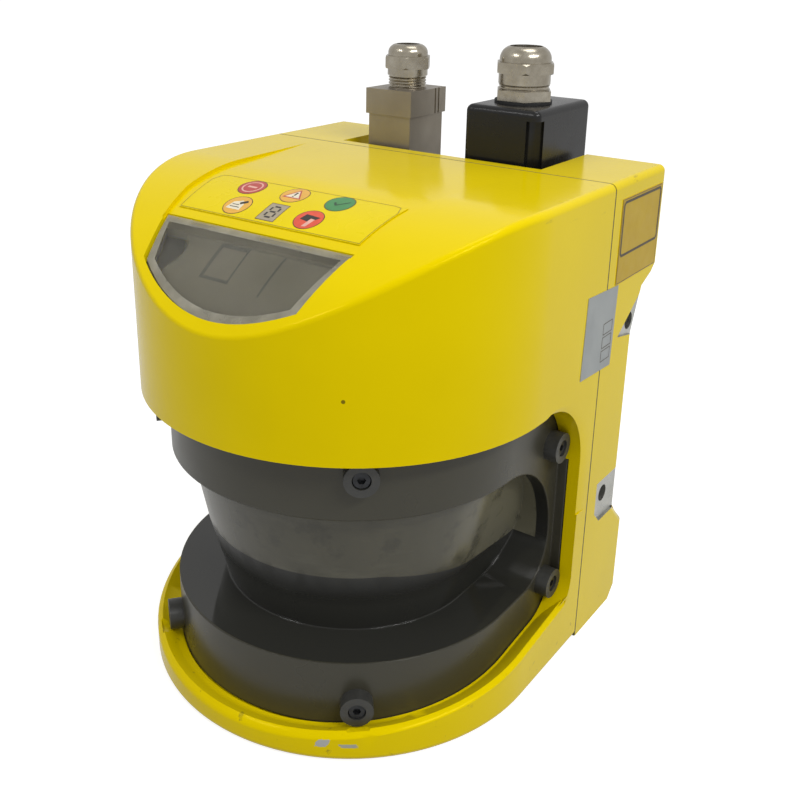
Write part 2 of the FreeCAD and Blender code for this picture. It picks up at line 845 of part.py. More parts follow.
# Bosses and holes of the screws that hold the two shells together.
front_bosses = []
front_holes = []
for side in ("-", ""):
    front_bosses.append(cylinder("y", "join_boss_radius", "join_boss_long",
                                 side + "join_x", "parting_y - join_boss_long", "join_high_z"))
    for end in ("low", "high"):
        deep = "join_%s_deep" % end
        front_holes.append(cylinder("y", "join_screw_radius", deep + " + beyond",
                                    side + "join_x", "parting_y - " + deep, "join_%s_z" % end))

hollowed = cut(shell, opening, rim_shoulder, cover_space, flange_space, frame_window, plate_hole,
               floor_space, head_cavity)
with_bosses = fuse(hollowed, *front_bosses)
node("front_housing", cut(with_bosses, panel_recess, window_hole, seat_hole,
                          *flares, *notches, *front_holes))

# Cover of the optics: the band with a slot across it, and the leaning core inside the slot.
band = body("cover_band")
pad(band, d_outline(band, "cover_radius", "opening_rear", "cover_low"), "cover_high - cover_low")
cover_slot = body("cover_slot")
pad(cover_slot, profile(cover_slot, "YZ_Plane", [
    ("-cover_radius - beyond", "slot_bottom"),
    ("slot_rear - slot_lower_arc", "slot_bottom", "slot_lower_arc", 1),
    ("slot_rear", "slot_bottom + slot_lower_arc"),
    ("slot_rear", "slot_top - slot_upper_arc", "slot_upper_arc", 1),
    ("slot_rear - slot_upper_arc", "slot_top"),
    ("-cover_radius - beyond", "slot_top"),
]), "3 * cover_radius", both=True)


def waist(inset, low, rear):
    """Leaning core under the window, narrow at the ledge and wide at the band."""
    owner = body("waist")
    loft(owner, [
        d_outline(owner, "waist_low_radius - (%s)" % inset, rear, low),
        d_outline(owner, "waist_low_radius - (%s)" % inset, rear, "slot_bottom + touch_gap"),
        d_outline(owner, "waist_mid_radius - (%s)" % inset, rear, "waist_mid_z"),
        d_outline(owner, "window_top_radius - (%s)" % inset, rear, "slot_top + beyond"),
    ])
    return owner


core = waist("0", "slot_bottom - cover_wall", "opening_rear")
core_space = waist("cover_wall", "slot_bottom - cover_wall - beyond", "opening_rear + flange_thick")
upper_space = body("cover_upper_space")
pad(upper_space, d_outline(upper_space, "cover_radius - cover_wall", "opening_rear", "slot_top"),
    "cover_high - slot_top + beyond")
lower_space = body("cover_lower_space")
pad(lower_space, d_outline(lower_space, "cover_radius - cover_wall", "opening_rear", "cover_low - beyond"),
    "slot_bottom - cover_wall - cover_low + beyond")
flange = box("-flange_half", "flange_half", "opening_rear", "opening_rear + flange_thick",
             "cover_low", "cover_high")
flange_window = box("-flange_window_half", "flange_window_half",
                    "opening_rear - cover_wall", "opening_rear + flange_thick + beyond",
                    "cover_low + cover_wall * 2", "cover_high - cover_wall * 2")
outside = fuse(cut(band, cover_slot), core, flange)
hollow_cover = cut(outside, core_space, upper_space, lower_space, flange_window)
inner_bosses = []
inner_holes = []
for angle, y, z, on_round in SCREW_PLACES:
    boss = cylinder("y", "screw_boss_radius", "screw_boss_deep", "0", "-cover_radius + cover_wall / 2", "0")
    hole = cylinder("y", "screw_radius", "screw_length + beyond", "0",
                    "-cover_radius - bush_floor - beyond", "0")
    inner_bosses.append(radial(group(boss), angle, y, z))
    inner_holes.append(radial(group(hole), angle, y, z))
node("optics_cover", cut(fuse(hollow_cover, *inner_bosses), *inner_holes))

seal = body("cover_seal")
pad(seal, d_outline(seal, "cover_radius - screw_clearance", "opening_rear", "cover_high"),
    "plate_low - cover_high")
seal_hole = body("cover_seal_hole")
pad(seal_hole, d_outline(seal_hole, "cover_radius - cover_wall + screw_clearance", "opening_rear + beyond",
                         "cover_high - beyond"), "plate_low - cover_high + 2 * beyond")
node("cover_seal", cut(seal, seal_hole))

# Bushes and screws of the cover, made once on the centre line and turned to their places.
bushes = []
screws = []
for angle, y, z, on_round in SCREW_PLACES:
    ring = cylinder("y", "bush_radius", "bush_high + beyond", "0", "-cover_radius - bush_high", "0")
    counterbore = cylinder("y", "bush_counterbore", "bush_high - bush_floor",
                           "0", "-cover_radius - bush_high", "0")
    shank_hole = cylinder("y", "screw_radius + screw_clearance", "bush_high + 2 * beyond",
                          "0", "-cover_radius - bush_high", "0")
    if on_round:
        seat = doc.addObject("Part::Cylinder", fresh("band_round"))
        seat.setExpression("Radius", full("cover_radius"))
        seat.setExpression("Height", full("4 * bush_radius"))
        bind_place(seat, "0", "0", "-2 * bush_radius")
    else:
        seat = box("-2 * bush_radius", "2 * bush_radius", "-cover_radius", "0",
                   "-2 * bush_radius", "2 * bush_radius")
    bushes.append(radial(cut(ring, counterbore, shank_hole, seat), angle, y, z))
    head_y = "-cover_radius - bush_floor - screw_head_high"
    head = cylinder("y", "screw_head_radius", "screw_head_high", "0", head_y, "0")
    shank = cylinder("y", "screw_radius", "screw_length", "0", "-cover_radius - bush_floor", "0")
    key = hexagon("hex_socket_width", "hex_socket_deep", "0", head_y, "0", "y")
    screws.append(radial(cut(fuse(head, shank), key), angle, y, z))
node("cover_screw_bushes", group(*bushes))
node("cover_screws", group(*screws))

# Operating panel: bevelled window, light guide, digit module, lamps and foil.
pane = window_plan("0", "0")
pocket(pane, profile(pane, "YZ_Plane", [
    ("crown_y", "total_height - panel_deep", "crown_radius - panel_deep", 1),
    ("crown_y - crown_radius + panel_deep", "total_height - crown_radius"),
    ("crown_y - crown_radius + panel_deep", "total_height + beyond"),
    ("crown_y", "total_height + beyond"),
]), WIDE, both=True)
OUTER_PANE = value("crown_radius - panel_deep")


def outer_pane_edge(middle, edge):
    """True for the edges on the outside of the pane."""
    off_centre = math.hypot(middle.y - value("crown_y"), middle.z - value("total_height - crown_radius"))
    return abs(off_centre - OUTER_PANE) < value("touch_gap")


edge_work(pane, "Chamfer", "window_bevel", outer_pane_edge)
node("display_window", cut(pane, crown_solid(seat_radius, "parting_y", "total_height")))

guide_outer = "(crown_radius - roof_thick - guide_gap)"
guide_shell = crown_shell(guide_outer, guide_outer + " - guide_thick")
guide_plan = body("guide_plan")
pad(guide_plan, profile(guide_plan, "XY_Plane", [
    ("guide_side_x", "guide_front_y"),
    ("guide_side_x + seat_inset * 4", "guide_front_y - seat_inset * 2"),
    ("panel_shift + window_front_half - seat_inset * 3", "guide_front_y - seat_inset * 2"),
    ("panel_shift + window_front_half + seat_inset / 2", "guide_front_y"),
    ("panel_shift + window_rear_half", "window_rear_y - beyond"),
    ("panel_shift + window_rear_half", "window_rear_y + seat_inset"),
    ("guide_side_x - seat_inset / 2", "window_rear_y + seat_inset"),
    ("guide_side_x - seat_inset / 2", "window_rear_y - beyond", "lamp_radius", 1),
    ("guide_side_x + seat_inset / 2", "window_rear_y - seat_inset"),
    ("guide_side_x + seat_inset", "window_rear_y - seat_inset * 2", "bush_radius", -1),
    ("guide_side_x", "window_rear_y - tooth_high"),
    ("guide_side_x - beyond", "window_rear_y - tooth_low"),
], "head_bottom"), "total_height - head_bottom")
digit_turn = FreeCAD.Rotation(V(1, 0, 0), math.degrees(math.asin(
    (value("crown_y") - value("digit_y")) / value("crown_radius - roof_thick"))))


def digit_block(grow):
    """Box of the digit module, square to the window above it."""
    thing = doc.addObject("Part::Box", fresh("digit"))
    thing.setExpression("Length", full("digit_wide + 2 * (%s)" % grow))
    thing.setExpression("Width", full("digit_long + 2 * (%s)" % grow))
    thing.setExpression("Height", full("digit_deep + 2 * (%s)" % grow))
    half = (value("digit_wide") / 2 + value(grow), value("digit_long") / 2 + value(grow))
    low = value("crown_radius - roof_thick - guide_gap - digit_drop - digit_deep - (%s)" % grow)
    centre = V(value("digit_x"), value("crown_y"), value("total_height - crown_radius"))
    thing.Placement = FreeCAD.Placement(centre + digit_turn.multVec(V(0, 0, low)), digit_turn).multiply(
        FreeCAD.Placement(V(-half[0], -half[1], 0), FreeCAD.Rotation()))
    return thing


guide_legs = []
for side in ("-", ""):
    leg_x = "panel_shift %s guide_leg_x" % (side or "+")
    guide_legs.append(common(
        box(leg_x + " - guide_leg_half", leg_x + " + guide_leg_half", "guide_leg_y - guide_leg_half",
            "guide_leg_y + guide_leg_half", "indicator_board_low + board_thick", "total_height"),
        crown_solid(guide_outer + " - guide_thick / 2", "parting_y", "total_height")))
node("light_guide", cut(fuse(common(guide_shell, guide_plan), *guide_legs), digit_block("screw_clearance")))
node("digit_display", digit_block("0"))

foil_plan = body("foil_plan")
pad(foil_plan, profile(foil_plan, "XY_Plane", [
    ("panel_shift - label_front_half", "label_front_y"),
    ("panel_shift + label_front_half", "label_front_y"),
    ("panel_shift + label_rear_half", "label_rear_y"),
    ("panel_shift - label_rear_half", "label_rear_y"),
], "head_bottom"), "total_height - head_bottom")
node("icon_label", common(foil_plan, crown_shell("crown_radius - panel_deep + foil_lift + foil_thick",
                                                 "crown_radius - panel_deep + foil_lift")))

lamp_places = [("panel_shift", "lamp_rear_y")]
for side in ("-", "+"):
    lamp_places.append(("panel_shift %s lamp_rear_x" % side, "lamp_rear_y"))
    lamp_places.append(("panel_shift %s lamp_front_x" % side, "lamp_front_y"))
inside = "crown_radius - roof_thick"
lamps = []
for x, y in lamp_places:
    top = "total_height - crown_radius + sqrt((%s) ^ 2 - (%s + lamp_radius - crown_y) ^ 2) - lamp_recess" \
        % (inside, y)
    lamps.append(cylinder("z", "lamp_radius", "%s - indicator_board_low - board_thick" % top,
                          x, y, "indicator_board_low + board_thick"))
node("status_lamps", group(*lamps))

# Rear shell: a side profile over the full width, with the bay for the plugs cut from the top.
rear = body("rear_shell")
REAR_FRONT = "parting_y + gasket_thick"
rear_points = [
    (REAR_FRONT, "0"),
    ("foot_rear - foot_chamfer", "0"),
    ("foot_rear", "foot_chamfer"),
    ("foot_rear", "foot_high"),
    ("waist_rear", "foot_step_high"),
    ("waist_rear", "block_low"),
    ("block_corner_y", "block_corner_z"),
    ("block_shoulder_y", "block_shoulder_z"),
    ("block_rear", "block_rear_z"),
    ("block_rear", "total_height"),
    (REAR_FRONT, "total_height"),
]
pad(rear, profile(rear, "YZ_Plane", rear_points), "2 * head_radius", both=True)


def rear_corner(middle, edge):
    """True for the rear edges of both ends and for the long top edges."""
    at_side = abs(abs(middle.x) - value("head_radius")) < value("cover_gap")
    behind = middle.y > value("waist_rear - beyond") and middle.z > value("beyond")
    on_top = middle.z > value("total_height - cover_gap") and middle.y > value("parting_y + 2 * beyond")
    return (at_side and (behind or on_top)) or (on_top and middle.y > value("block_rear - cover_gap"))


edge_work(rear, "Fillet", "edge_round", rear_corner)
rear_trim = body("rear_trim")
pad(rear_trim, profile(rear_trim, "YZ_Plane", rear_points), "2 * (head_radius - beyond)", both=True)

INNER_HALF = "head_radius - rear_wall"
rear_spaces = [
    box("-(%s)" % INNER_HALF, INNER_HALF, REAR_FRONT + " - beyond", "waist_rear - rear_wall",
        "rear_wall", "bay_floor - rear_wall"),
    box("-(%s)" % INNER_HALF, INNER_HALF, "waist_rear - rear_wall - beyond", "foot_rear - rear_wall",
        "rear_wall", "foot_high - rear_wall"),
]
for side in (-1, 1):
    low, high = "bay_half + rear_wall", INNER_HALF
    if side < 0:
        low, high = "-(%s)" % high, "-(%s)" % low
    rear_spaces.append(box(low, high, REAR_FRONT + " - beyond", "block_rear - rear_wall",
                           "block_rear_z", "total_height - rear_wall"))
bay = box("-bay_half", "bay_half", "bay_front", "block_rear + beyond", "bay_floor",
          "total_height + beyond")

# Lugs: a solid block behind each recess, with a blind threaded hole in the floor of the recess.
JOINS = (("low", "foot_rear"), ("high", "block_rear"))
LUG_DEPTHS = {
    "lower": "(lug_hole_deep + lug_deep)",
    "upper": "(upper_hole_deep + upper_lug_deep)",
}
blocks = []
recesses = []
for side in (-1, 1):
    low, high = INNER_HALF + " - lug_block_wide", INNER_HALF + " + beyond"
    if side < 0:
        low, high = "-(%s)" % high, "-(%s)" % low
    blocks.append(box(low, high, "lower_lug_front - lug_margin", "waist_rear",
                      "lower_lug_low - lug_margin", "lower_lug_high + lug_margin"))
    blocks.append(box(low, high, "upper_lug_y - upper_block_y", "block_corner_y",
                      "upper_lug_z - upper_block_z", "block_shoulder_z"))
    face = "%d * (head_radius + (beyond - lug_deep) / 2)" % side
    lower_recess = body("lower_recess")
    pad(lower_recess, profile(lower_recess, "YZ_Plane", [
        ("lower_lug_front + lug_corner", "lower_lug_low"),
        ("waist_rear + beyond", "lower_lug_low"),
        ("waist_rear + beyond", "lower_lug_high"),
        ("lower_lug_front", "lower_lug_high"),
        ("lower_lug_front", "lower_lug_low + lug_corner"),
    ], face), "lug_deep + beyond", both=True)
    face = "%d * (head_radius + (beyond - upper_lug_deep) / 2)" % side
    upper_recess = body("upper_recess")
    pad(upper_recess, profile(upper_recess, "YZ_Plane", [
        ("upper_lug_y - upper_tip_y", "upper_lug_z - upper_tip_z"),
        ("upper_lug_y + upper_foot_y", "upper_lug_z - upper_foot_z"),
        ("upper_lug_y + upper_end_y", "upper_lug_z + upper_end_z"),
        ("upper_lug_y + upper_top_y", "upper_lug_z + upper_top_z"),
    ], face), "upper_lug_deep + beyond", both=True)
    recesses += [lower_recess, upper_recess]
    for height, deep in LUG_DEPTHS.items():
        start = "head_radius - " + deep if side > 0 else "-head_radius"
        recesses.append(cylinder("x", "lug_hole_radius", deep, start,
                                 height + "_lug_y", height + "_lug_z"))
    sign = "-" if side < 0 else ""
    blocks.append(cylinder("y", "rear_boss_radius", "rear_hole_deep", sign + "rear_hole_x",
                           "waist_rear - rear_hole_deep - 2 * beyond", "rear_hole_z"))
    recesses.append(cylinder("y", "rear_hole_radius", "rear_hole_deep + beyond", sign + "rear_hole_x",
                             "waist_rear - rear_hole_deep", "rear_hole_z"))
    for end, back in JOINS:
        height = "join_%s_z" % end
        blocks.append(cylinder("y", "join_boss_radius", "%s - beyond - (%s)" % (back, REAR_FRONT),
                               sign + "join_x", REAR_FRONT, height))
        recesses.append(cylinder("y", "join_screw_radius", "%s - (%s) + 2 * beyond" % (back, REAR_FRONT),
                                 sign + "join_x", REAR_FRONT + " - beyond", height))
        recesses.append(cylinder("y", "join_head_radius + screw_clearance", "join_head_high + beyond",
                                 sign + "join_x", back + " - join_head_high", height))
blocks_in = common(fuse(*blocks), rear_trim)
socket_holes = []
SOCKETS = {
    "small": ("small_axis_x", "small_axis_y"),
    "large": ("large_axis_x", "large_axis_y"),
}
for size, (x, y) in SOCKETS.items():
    half_x = "(%s_socket_half_x + socket_gap)" % size
    socket_holes.append(box(x + " - " + half_x, x + " + " + half_x, "socket_front - socket_gap",
                            "socket_rear + socket_gap", "bay_floor - rear_wall - beyond",
                            "bay_floor + beyond"))
rear_hollow = fuse(cut(rear, *rear_spaces), blocks_in)
node("rear_housing", cut(rear_hollow, bay, *recesses, *socket_holes))

gasket = body("gasket")
pad(gasket, profile(gasket, "XZ_Plane", [
    ("-head_radius + cover_gap", "cover_gap"),
    ("head_radius - cover_gap", "cover_gap"),
    ("head_radius - cover_gap", "total_height - cover_gap"),
    ("-head_radius + cover_gap", "total_height - cover_gap"),
], "-parting_y - gasket_thick"), "gasket_thick")
edge_work(gasket, "Fillet", "edge_round", lambda middle, edge:
          middle.z > value("total_height - beyond") and edge.BoundBox.YLength > value("cover_gap")
          and edge.BoundBox.XLength < value("cover_gap"))
gasket_hole = box("-frame_window_half + beyond", "frame_window_half - beyond", "parting_y - beyond",
                  "parting_y + 2 * beyond", "floor_high", "total_height - roof_thick - beyond")
gasket_cuts = [gasket_hole]
join_screws = []
for side in ("-", ""):
    for end, back in JOINS:
        height = "join_%s_z" % end
        gasket_cuts.append(cylinder("y", "join_screw_radius", "gasket_thick + 2 * beyond",
                                    side + "join_x", "parting_y - beyond", height))
        tip = "parting_y - join_%s_tip" % end
        seat_y = back + " - join_head_high"
        shank = cylinder("y", "join_screw_radius", "%s - (%s)" % (seat_y, tip), side + "join_x", tip, height)
        head = cylinder("y", "join_head_radius", "join_head_high - join_head_gap", side + "join_x",
                        seat_y, height)
        key = hexagon("join_key_width", "join_key_deep", side + "join_x",
                      back + " - join_head_gap - join_key_deep", height, "y")
        join_screws.append(cut(fuse(shank, head), key))
node("housing_gasket", cut(gasket, *gasket_cuts))
node("housing_screws", group(*join_screws))

# Bare stickers on the right side.
side_foil = box("head_radius", "head_radius + foil_thick", "side_label_front", "side_label_rear",
                "side_label_low", "side_label_high")
node("side_label", side_foil)
sticker = body("sticker")
pad(sticker, profile(sticker, "YZ_Plane", [
    ("sticker_front", "sticker_low + sticker_lean"),
    ("sticker_rear", "sticker_low"),
    ("sticker_rear + sticker_lean", "sticker_high"),
    ("sticker_front + sticker_lean", "sticker_high + sticker_lean"),
], "head_radius"), "foil_thick")
node("inspection_sticker", sticker)

# Small plug: two die-cast halves that clamp the thread of the gland.
small_outer = fuse(
    box("small_left", "small_right", "small_front", "small_rear", "hood_low", "small_high"),
    box("small_left - small_step", "small_right + small_step", "small_front - small_step",
        "small_rear + small_step", "small_step_z", "small_high"))
small_inner = box("small_left + hood_wall", "small_right - hood_wall", "small_front + hood_wall",
                  "small_rear - hood_wall", "hood_low - beyond", "small_high - hood_wall * 2")
small_thread_hole = cylinder("z", "small_thread_radius", "hood_wall * 4", "small_axis_x", "small_axis_y",
                             "small_high - hood_wall * 3")
ribs = []
for shift in ("rib_first", "rib_second"):
    for x in ("small_left - small_step", "small_right + small_step"):
        ribs.append(box(x + " - rib_deep", x + " + rib_deep", "small_axis_y + " + shift,
                        "small_axis_y + rib_wide + " + shift, "hood_low - beyond", "small_high + beyond"))
half_front = box("small_left - 2 * beyond", "small_right + 2 * beyond", "small_front - 2 * beyond",
                 "small_axis_y", "hood_low - beyond", "small_high + beyond")
small_hood = cut(small_outer, small_inner, small_thread_hole, *ribs)
node("small_hood_front", common(small_hood, half_front))
node("small_hood_rear", cut(small_hood, half_front))


def gland_nut(size, x, y, base):
    """Hexagon nut with a round dome and a hole for the cord."""
    nut_high = "%s_nut_high" % size
    dome_high = "%s_dome_high" % size
    radius = "%s_dome_radius" % size
    width = "%s_nut_width" % size
    top = "(%s + %s)" % (nut_high, dome_high)
    dome = turned([
        ("0", "dome_base"),
        (radius, "dome_base"),
        (radius, nut_high + " + dome_flat", dome_high + " - dome_flat", 1),
        ("%s - %s + dome_flat" % (radius, dome_high), top),
        ("0", top),
    ], x, y, base)
    corner_reach = width + " / sqrt(3) + corner_gap"
    corner = turned([
        ("0", "0"),
        (width + " * corner_share", "0"),
        (corner_reach, "corner_cut"),
        (corner_reach, nut_high + " - corner_cut"),
        (width + " * corner_share", nut_high),
        ("0", nut_high),
    ], x, y, base)
    six = common(hexagon(width, nut_high, x, y, base), corner)
    bore = cylinder("z", "%s_bore_radius" % size, top + " + 2 * beyond", x, y, base + " - beyond")
    return cut(fuse(dome, six), bore)


def gland_seal(size, x, y, low, high):
    """Rubber ring in the mouth of the gland."""
    return turned([
        ("%s_bore_radius / 2" % size, "0"),
        ("%s_bore_radius" % size, "0"),
        ("%s_bore_radius" % size, "(%s) - (%s)" % (high, low)),
        ("%s_bore_radius / 2" % size, "(%s) - (%s)" % (high, low)),
    ], x, y, low)


small_collar_z = "small_high + small_neck_high"
small_nut_z = small_collar_z + " + small_collar_high"
small_body = turned([
    ("small_bore_radius", "-thread_reach"),
    ("small_thread_radius", "-thread_reach"),
    ("small_thread_radius", "small_neck_high"),
    ("small_collar_radius", "small_neck_high"),
    ("small_collar_radius", "small_neck_high + small_collar_high"),
    ("small_bore_radius", "small_neck_high + small_collar_high"),
], "small_axis_x", "small_axis_y", "small_high")
node("small_gland_body", small_body)
node("small_gland_nut", gland_nut("small", "small_axis_x", "small_axis_y", small_nut_z))
node("small_gland_seal", gland_seal("small", "small_axis_x", "small_axis_y", small_nut_z,
                                    small_nut_z + " + small_nut_high + small_dome_high - small_seal_drop"))

# Large plug: moulded hood, its two long screws and its gland.
hood = body("large_hood")
pad(hood, profile(hood, "XY_Plane", [
    ("large_left", "large_front"),
    ("large_right", "large_front"),
    ("large_right", "large_rear"),
    ("large_left", "large_rear"),
], "hood_low"), "large_high - hood_low")
edge_work(hood, "Fillet", "large_round", lambda middle, edge:
          middle.z > value("hood_low + beyond"))
channels = []
channel_screws = []
for x, y in (("large_right - channel_inset", "large_front + channel_inset"),
             ("large_left + channel_inset", "large_rear - channel_inset")):
    channels.append(cylinder("z", "channel_radius", "channel_high - channel_low", x, y, "channel_low"))
    channels.append(cylinder("z", "screw_radius", "channel_low - hood_low + 2 * beyond", x, y,
                             "hood_low - beyond"))
    screw_head = cylinder("z", "channel_screw_radius", "channel_screw_high", x, y, "channel_low")
    screw_shank = cylinder("z", "screw_radius", "channel_low - hood_low", x, y, "hood_low")
    cross = box("(%s) - slot_half_long" % x, "(%s) + slot_half_long" % x,
                "(%s) - slot_half_wide" % y, "(%s) + slot_half_wide" % y,
                "channel_low + channel_screw_high - slot_deep", "channel_low + channel_screw_high + beyond")
    channel_screws.append(cut(fuse(screw_head, screw_shank), cross))
large_inner = box("large_left + large_wall", "large_right - large_wall", "large_front + large_wall",
                  "large_rear - large_wall", "hood_low - beyond", "large_high - hood_wall * 2")
large_thread_hole = cylinder("z", "large_thread_radius", "hood_wall * 4", "large_axis_x", "large_axis_y",
                             "large_high - hood_wall * 3")
node("large_hood", cut(hood, large_inner, large_thread_hole, *channels))
node("large_hood_screws", group(*channel_screws))

washer_z = "large_high"
washer = turned([
    ("large_thread_radius", "0"),
    ("large_washer_radius", "0"),
    ("large_washer_radius", "large_washer_high"),
    ("large_thread_radius", "large_washer_high"),
], "large_axis_x", "large_axis_y", washer_z)
node("large_gland_washer", washer)
large_body_z = "large_high + large_washer_high"
large_neck_z = large_body_z + " + large_body_high"
large_nut_low = large_neck_z + " + large_neck_high"
large_hex = hexagon("large_body_width", "large_body_high", "large_axis_x", "large_axis_y", large_body_z)
large_thread = cylinder("z", "large_thread_radius", "hood_wall * 2 + large_washer_high", "large_axis_x",
                        "large_axis_y", "large_high - hood_wall * 2")
large_neck = cylinder("z", "large_thread_radius", "large_neck_high", "large_axis_x", "large_axis_y",
                      large_neck_z)
large_bore = cylinder("z", "large_bore_radius", "gland_reach * 3", "large_axis_x", "large_axis_y",
                      "large_high - gland_reach")
node("large_gland_body", cut(fuse(large_hex, large_thread, large_neck), large_bore))
large_collar = cylinder("z", "large_collar_radius", "large_collar_high", "large_axis_x", "large_axis_y",
                        large_nut_low)
large_nut_z = large_nut_low + " + large_collar_high"
collar_bore = cylinder("z", "large_bore_radius", "large_collar_high + 2 * beyond", "large_axis_x",
                       "large_axis_y", large_nut_low + " - beyond")
node("large_gland_nut", fuse(gland_nut("large", "large_axis_x", "large_axis_y", large_nut_z),
                             cut(large_collar, collar_bore)))
node("large_gland_seal", gland_seal("large", "large_axis_x", "large_axis_y", large_nut_z,
                                    large_nut_z + " + large_nut_high + large_dome_high - large_seal_drop"))

# Connectors: the device side stands in the bay floor, the cable side fills the hood.
for size, (x, y) in SOCKETS.items():
    half_x = "%s_socket_half_x" % size
    core_box = box(x + " - " + half_x, x + " + " + half_x, "socket_front", "socket_rear",
                   "socket_low", "bay_floor")
    if size == "small":
        plate = box("small_left", "small_right", "small_front", "small_rear", "bay_floor", "hood_low")
    else:
        plate = box("large_left + plate_inset", "large_right - plate_inset", "large_front + plate_inset",
                    "block_rear - plate_inset", "bay_floor", "hood_low")
    node("%s_socket" % size, fuse(core_box, plate))
    node("%s_plug" % size, box(x + " - " + half_x, x + " + " + half_x, y + " - plug_half_y",
                               y + " + plug_half_y", "hood_low", "plug_high"))

# Optics in the head.
optics_plate = cylinder("z", "optics_plate_radius", "optics_plate_thick", "0", "0", "plate_high")
lens_hole = cylinder("z", "lens_radius", "optics_plate_thick + 2 * beyond", "0", "0",
                     "plate_high - beyond")
node("optics_plate", cut(optics_plate, lens_hole))
lens_top = "plate_high + optics_plate_thick"
node("receiver_lens", turned([
    ("laser_radius", "lens_low", "lens_radius * 2", 1),
    ("lens_radius", "lens_low + lens_rim"),
    ("lens_radius", lens_top),
    ("lens_flange_radius", lens_top),
    ("lens_flange_radius", lens_top + " + lens_flange_thick"),
    ("laser_radius", lens_top + " + lens_flange_thick"),
]))
laser_seat = lens_top + " + lens_flange_thick"
node("laser_module", turned([
    ("0", "laser_low"),
    ("laser_radius", "laser_low"),
    ("laser_radius", laser_seat),
    ("laser_flange_radius", laser_seat),
    ("laser_flange_radius", laser_seat + " + laser_flange_thick"),
    ("laser_radius", laser_seat + " + laser_flange_thick"),
    ("laser_radius", "laser_high"),
    ("0", "laser_high"),
]))
node("receiver_board", cylinder("z", "receiver_board_radius", "board_thick", "0", "0", "receiver_board_low"))
node("indicator_board", box("-indicator_board_half", "indicator_board_half", "indicator_board_front",
                            "indicator_board_rear", "indicator_board_low",
                            "indicator_board_low + board_thick"))
posts = []
for x in ("-post_x", "post_x"):
    for y in ("post_front_y", "post_rear_y"):
        posts.append(cylinder("z", "post_radius", "receiver_board_low - (%s)" % lens_top, x, y, lens_top))
        posts.append(cylinder("z", "post_radius", "indicator_board_low - receiver_board_low - board_thick",
                              x, y, "receiver_board_low + board_thick"))
node("board_posts", group(*posts))

# Drive in the base and the rotor on the scan axis.
bracket = cylinder("z", "bracket_radius", "bracket_high - floor_low", "0", "0", "floor_low")
bracket_trim = box("-bracket_radius - beyond", "bracket_radius + beyond", "-bracket_radius - beyond",
                   "opening_rear - rear_wall - beyond", "floor_low - beyond", "bracket_high + beyond")
node("motor_bracket", common(bracket, bracket_trim))
motor = cylinder("z", "motor_radius", "motor_high - bracket_high", "0", "0", "bracket_high")
motor_bore = cylinder("z", "shaft_radius + shaft_gap", "motor_high", "0", "0",
                      "bracket_high + screw_clearance")
node("scan_motor", cut(motor, motor_bore))
node("rotor_shaft", cylinder("z", "shaft_radius", "shaft_high - shaft_low", "0", "0", "shaft_low"))
disc = cylinder("z", "disc_radius", "disc_thick", "0", "0", "disc_low")
disc_hub = cylinder("z", "hub_radius", "holder_low - disc_low - disc_thick", "0", "0",
                    "disc_low + disc_thick")
disc_bore = cylinder("z", "shaft_radius", "shaft_high", "0", "0", "disc_low - beyond")
node("encoder_disc", cut(fuse(disc, disc_hub), disc_bore))

MIRROR_TURN = FreeCAD.Rotation(V(1, 0, 0), QUARTER_TURN / 2)
holder = cylinder("z", "holder_radius", "2 * mirror_z - holder_low", "0", "0", "holder_low")
cutter = doc.addObject("Part::Box", "mirror_plane")
cutter.setExpression("Length", full("6 * holder_radius"))
cutter.setExpression("Width", full("6 * holder_radius"))
cutter.setExpression("Height", full("4 * holder_radius"))
half = value("3 * holder_radius")
cutter.Placement = FreeCAD.Placement(V(0, 0, value("mirror_z")), MIRROR_TURN).multiply(
    FreeCAD.Placement(V(-half, -half, 0), FreeCAD.Rotation()))
holder_bore = cylinder("z", "shaft_radius", "shaft_high - holder_low + beyond", "0", "0",
                       "holder_low - beyond")
node("mirror_holder", cut(holder, cutter, holder_bore))
mirror = doc.addObject("Part::Cylinder", "mirror")
mirror.setExpression("Radius", full("mirror_radius"))
mirror.setExpression("Height", full("mirror_thick"))
mirror.Placement = FreeCAD.Placement(V(0, 0, value("mirror_z")), MIRROR_TURN)
mirror.setExpression("Placement.Base.z", full("mirror_z"))
node("scan_mirror", mirror)

stand = box("disc_radius + 2 * barrier_gap", "barrier_outer", "-barrier_half", "barrier_half",
            "bracket_high", "barrier_high")
jaws = box("barrier_inner", "barrier_outer", "-barrier_half", "barrier_half", "barrier_low", "barrier_high")
jaw_gap = box("barrier_inner - beyond", "disc_radius + 2 * barrier_gap", "-barrier_half - beyond",
              "barrier_half + beyond", "disc_low - barrier_gap", "disc_low + disc_thick + barrier_gap")
node("light_barrier", cut(fuse(stand, jaws), jaw_gap))

node("main_board", box("-board_half", "board_half", "main_board_y", "main_board_y + board_thick",
                       "main_board_low", "main_board_high"))
main_posts = []
for x in ("-main_post_x", "main_post_x"):
    for z in ("main_post_low_z", "main_post_high_z"):
        main_posts.append(cylinder("y", "post_radius", "waist_rear - rear_wall - main_board_y - board_thick",
                                   x, "main_board_y + board_thick", z))
node("main_board_posts", group(*main_posts))

doc.recompute()

problems = []
for thing in doc.Objects:
    if "Invalid" in thing.State or "Error" in thing.State:
        problems.append("%s %s" % (thing.Name, thing.State))
for name, thing in nodes.items():
    if thing.Shape.isNull() or not thing.Shape.isValid() or thing.Shape.Volume <= 0:
        problems.append("bad shape: " + name)
if problems:
    raise RuntimeError("; ".join(problems))

for name, thing in nodes.items():
    thing.Shape.exportStep("parts/%s.step" % name)
    print(name, len(thing.Shape.Solids), "solids", round(thing.Shape.Volume / 1000, 2), "cm3")
print(len(nodes), "nodes")
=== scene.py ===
import json
import math

import bmesh
import bpy
from mathutils import Matrix, Vector


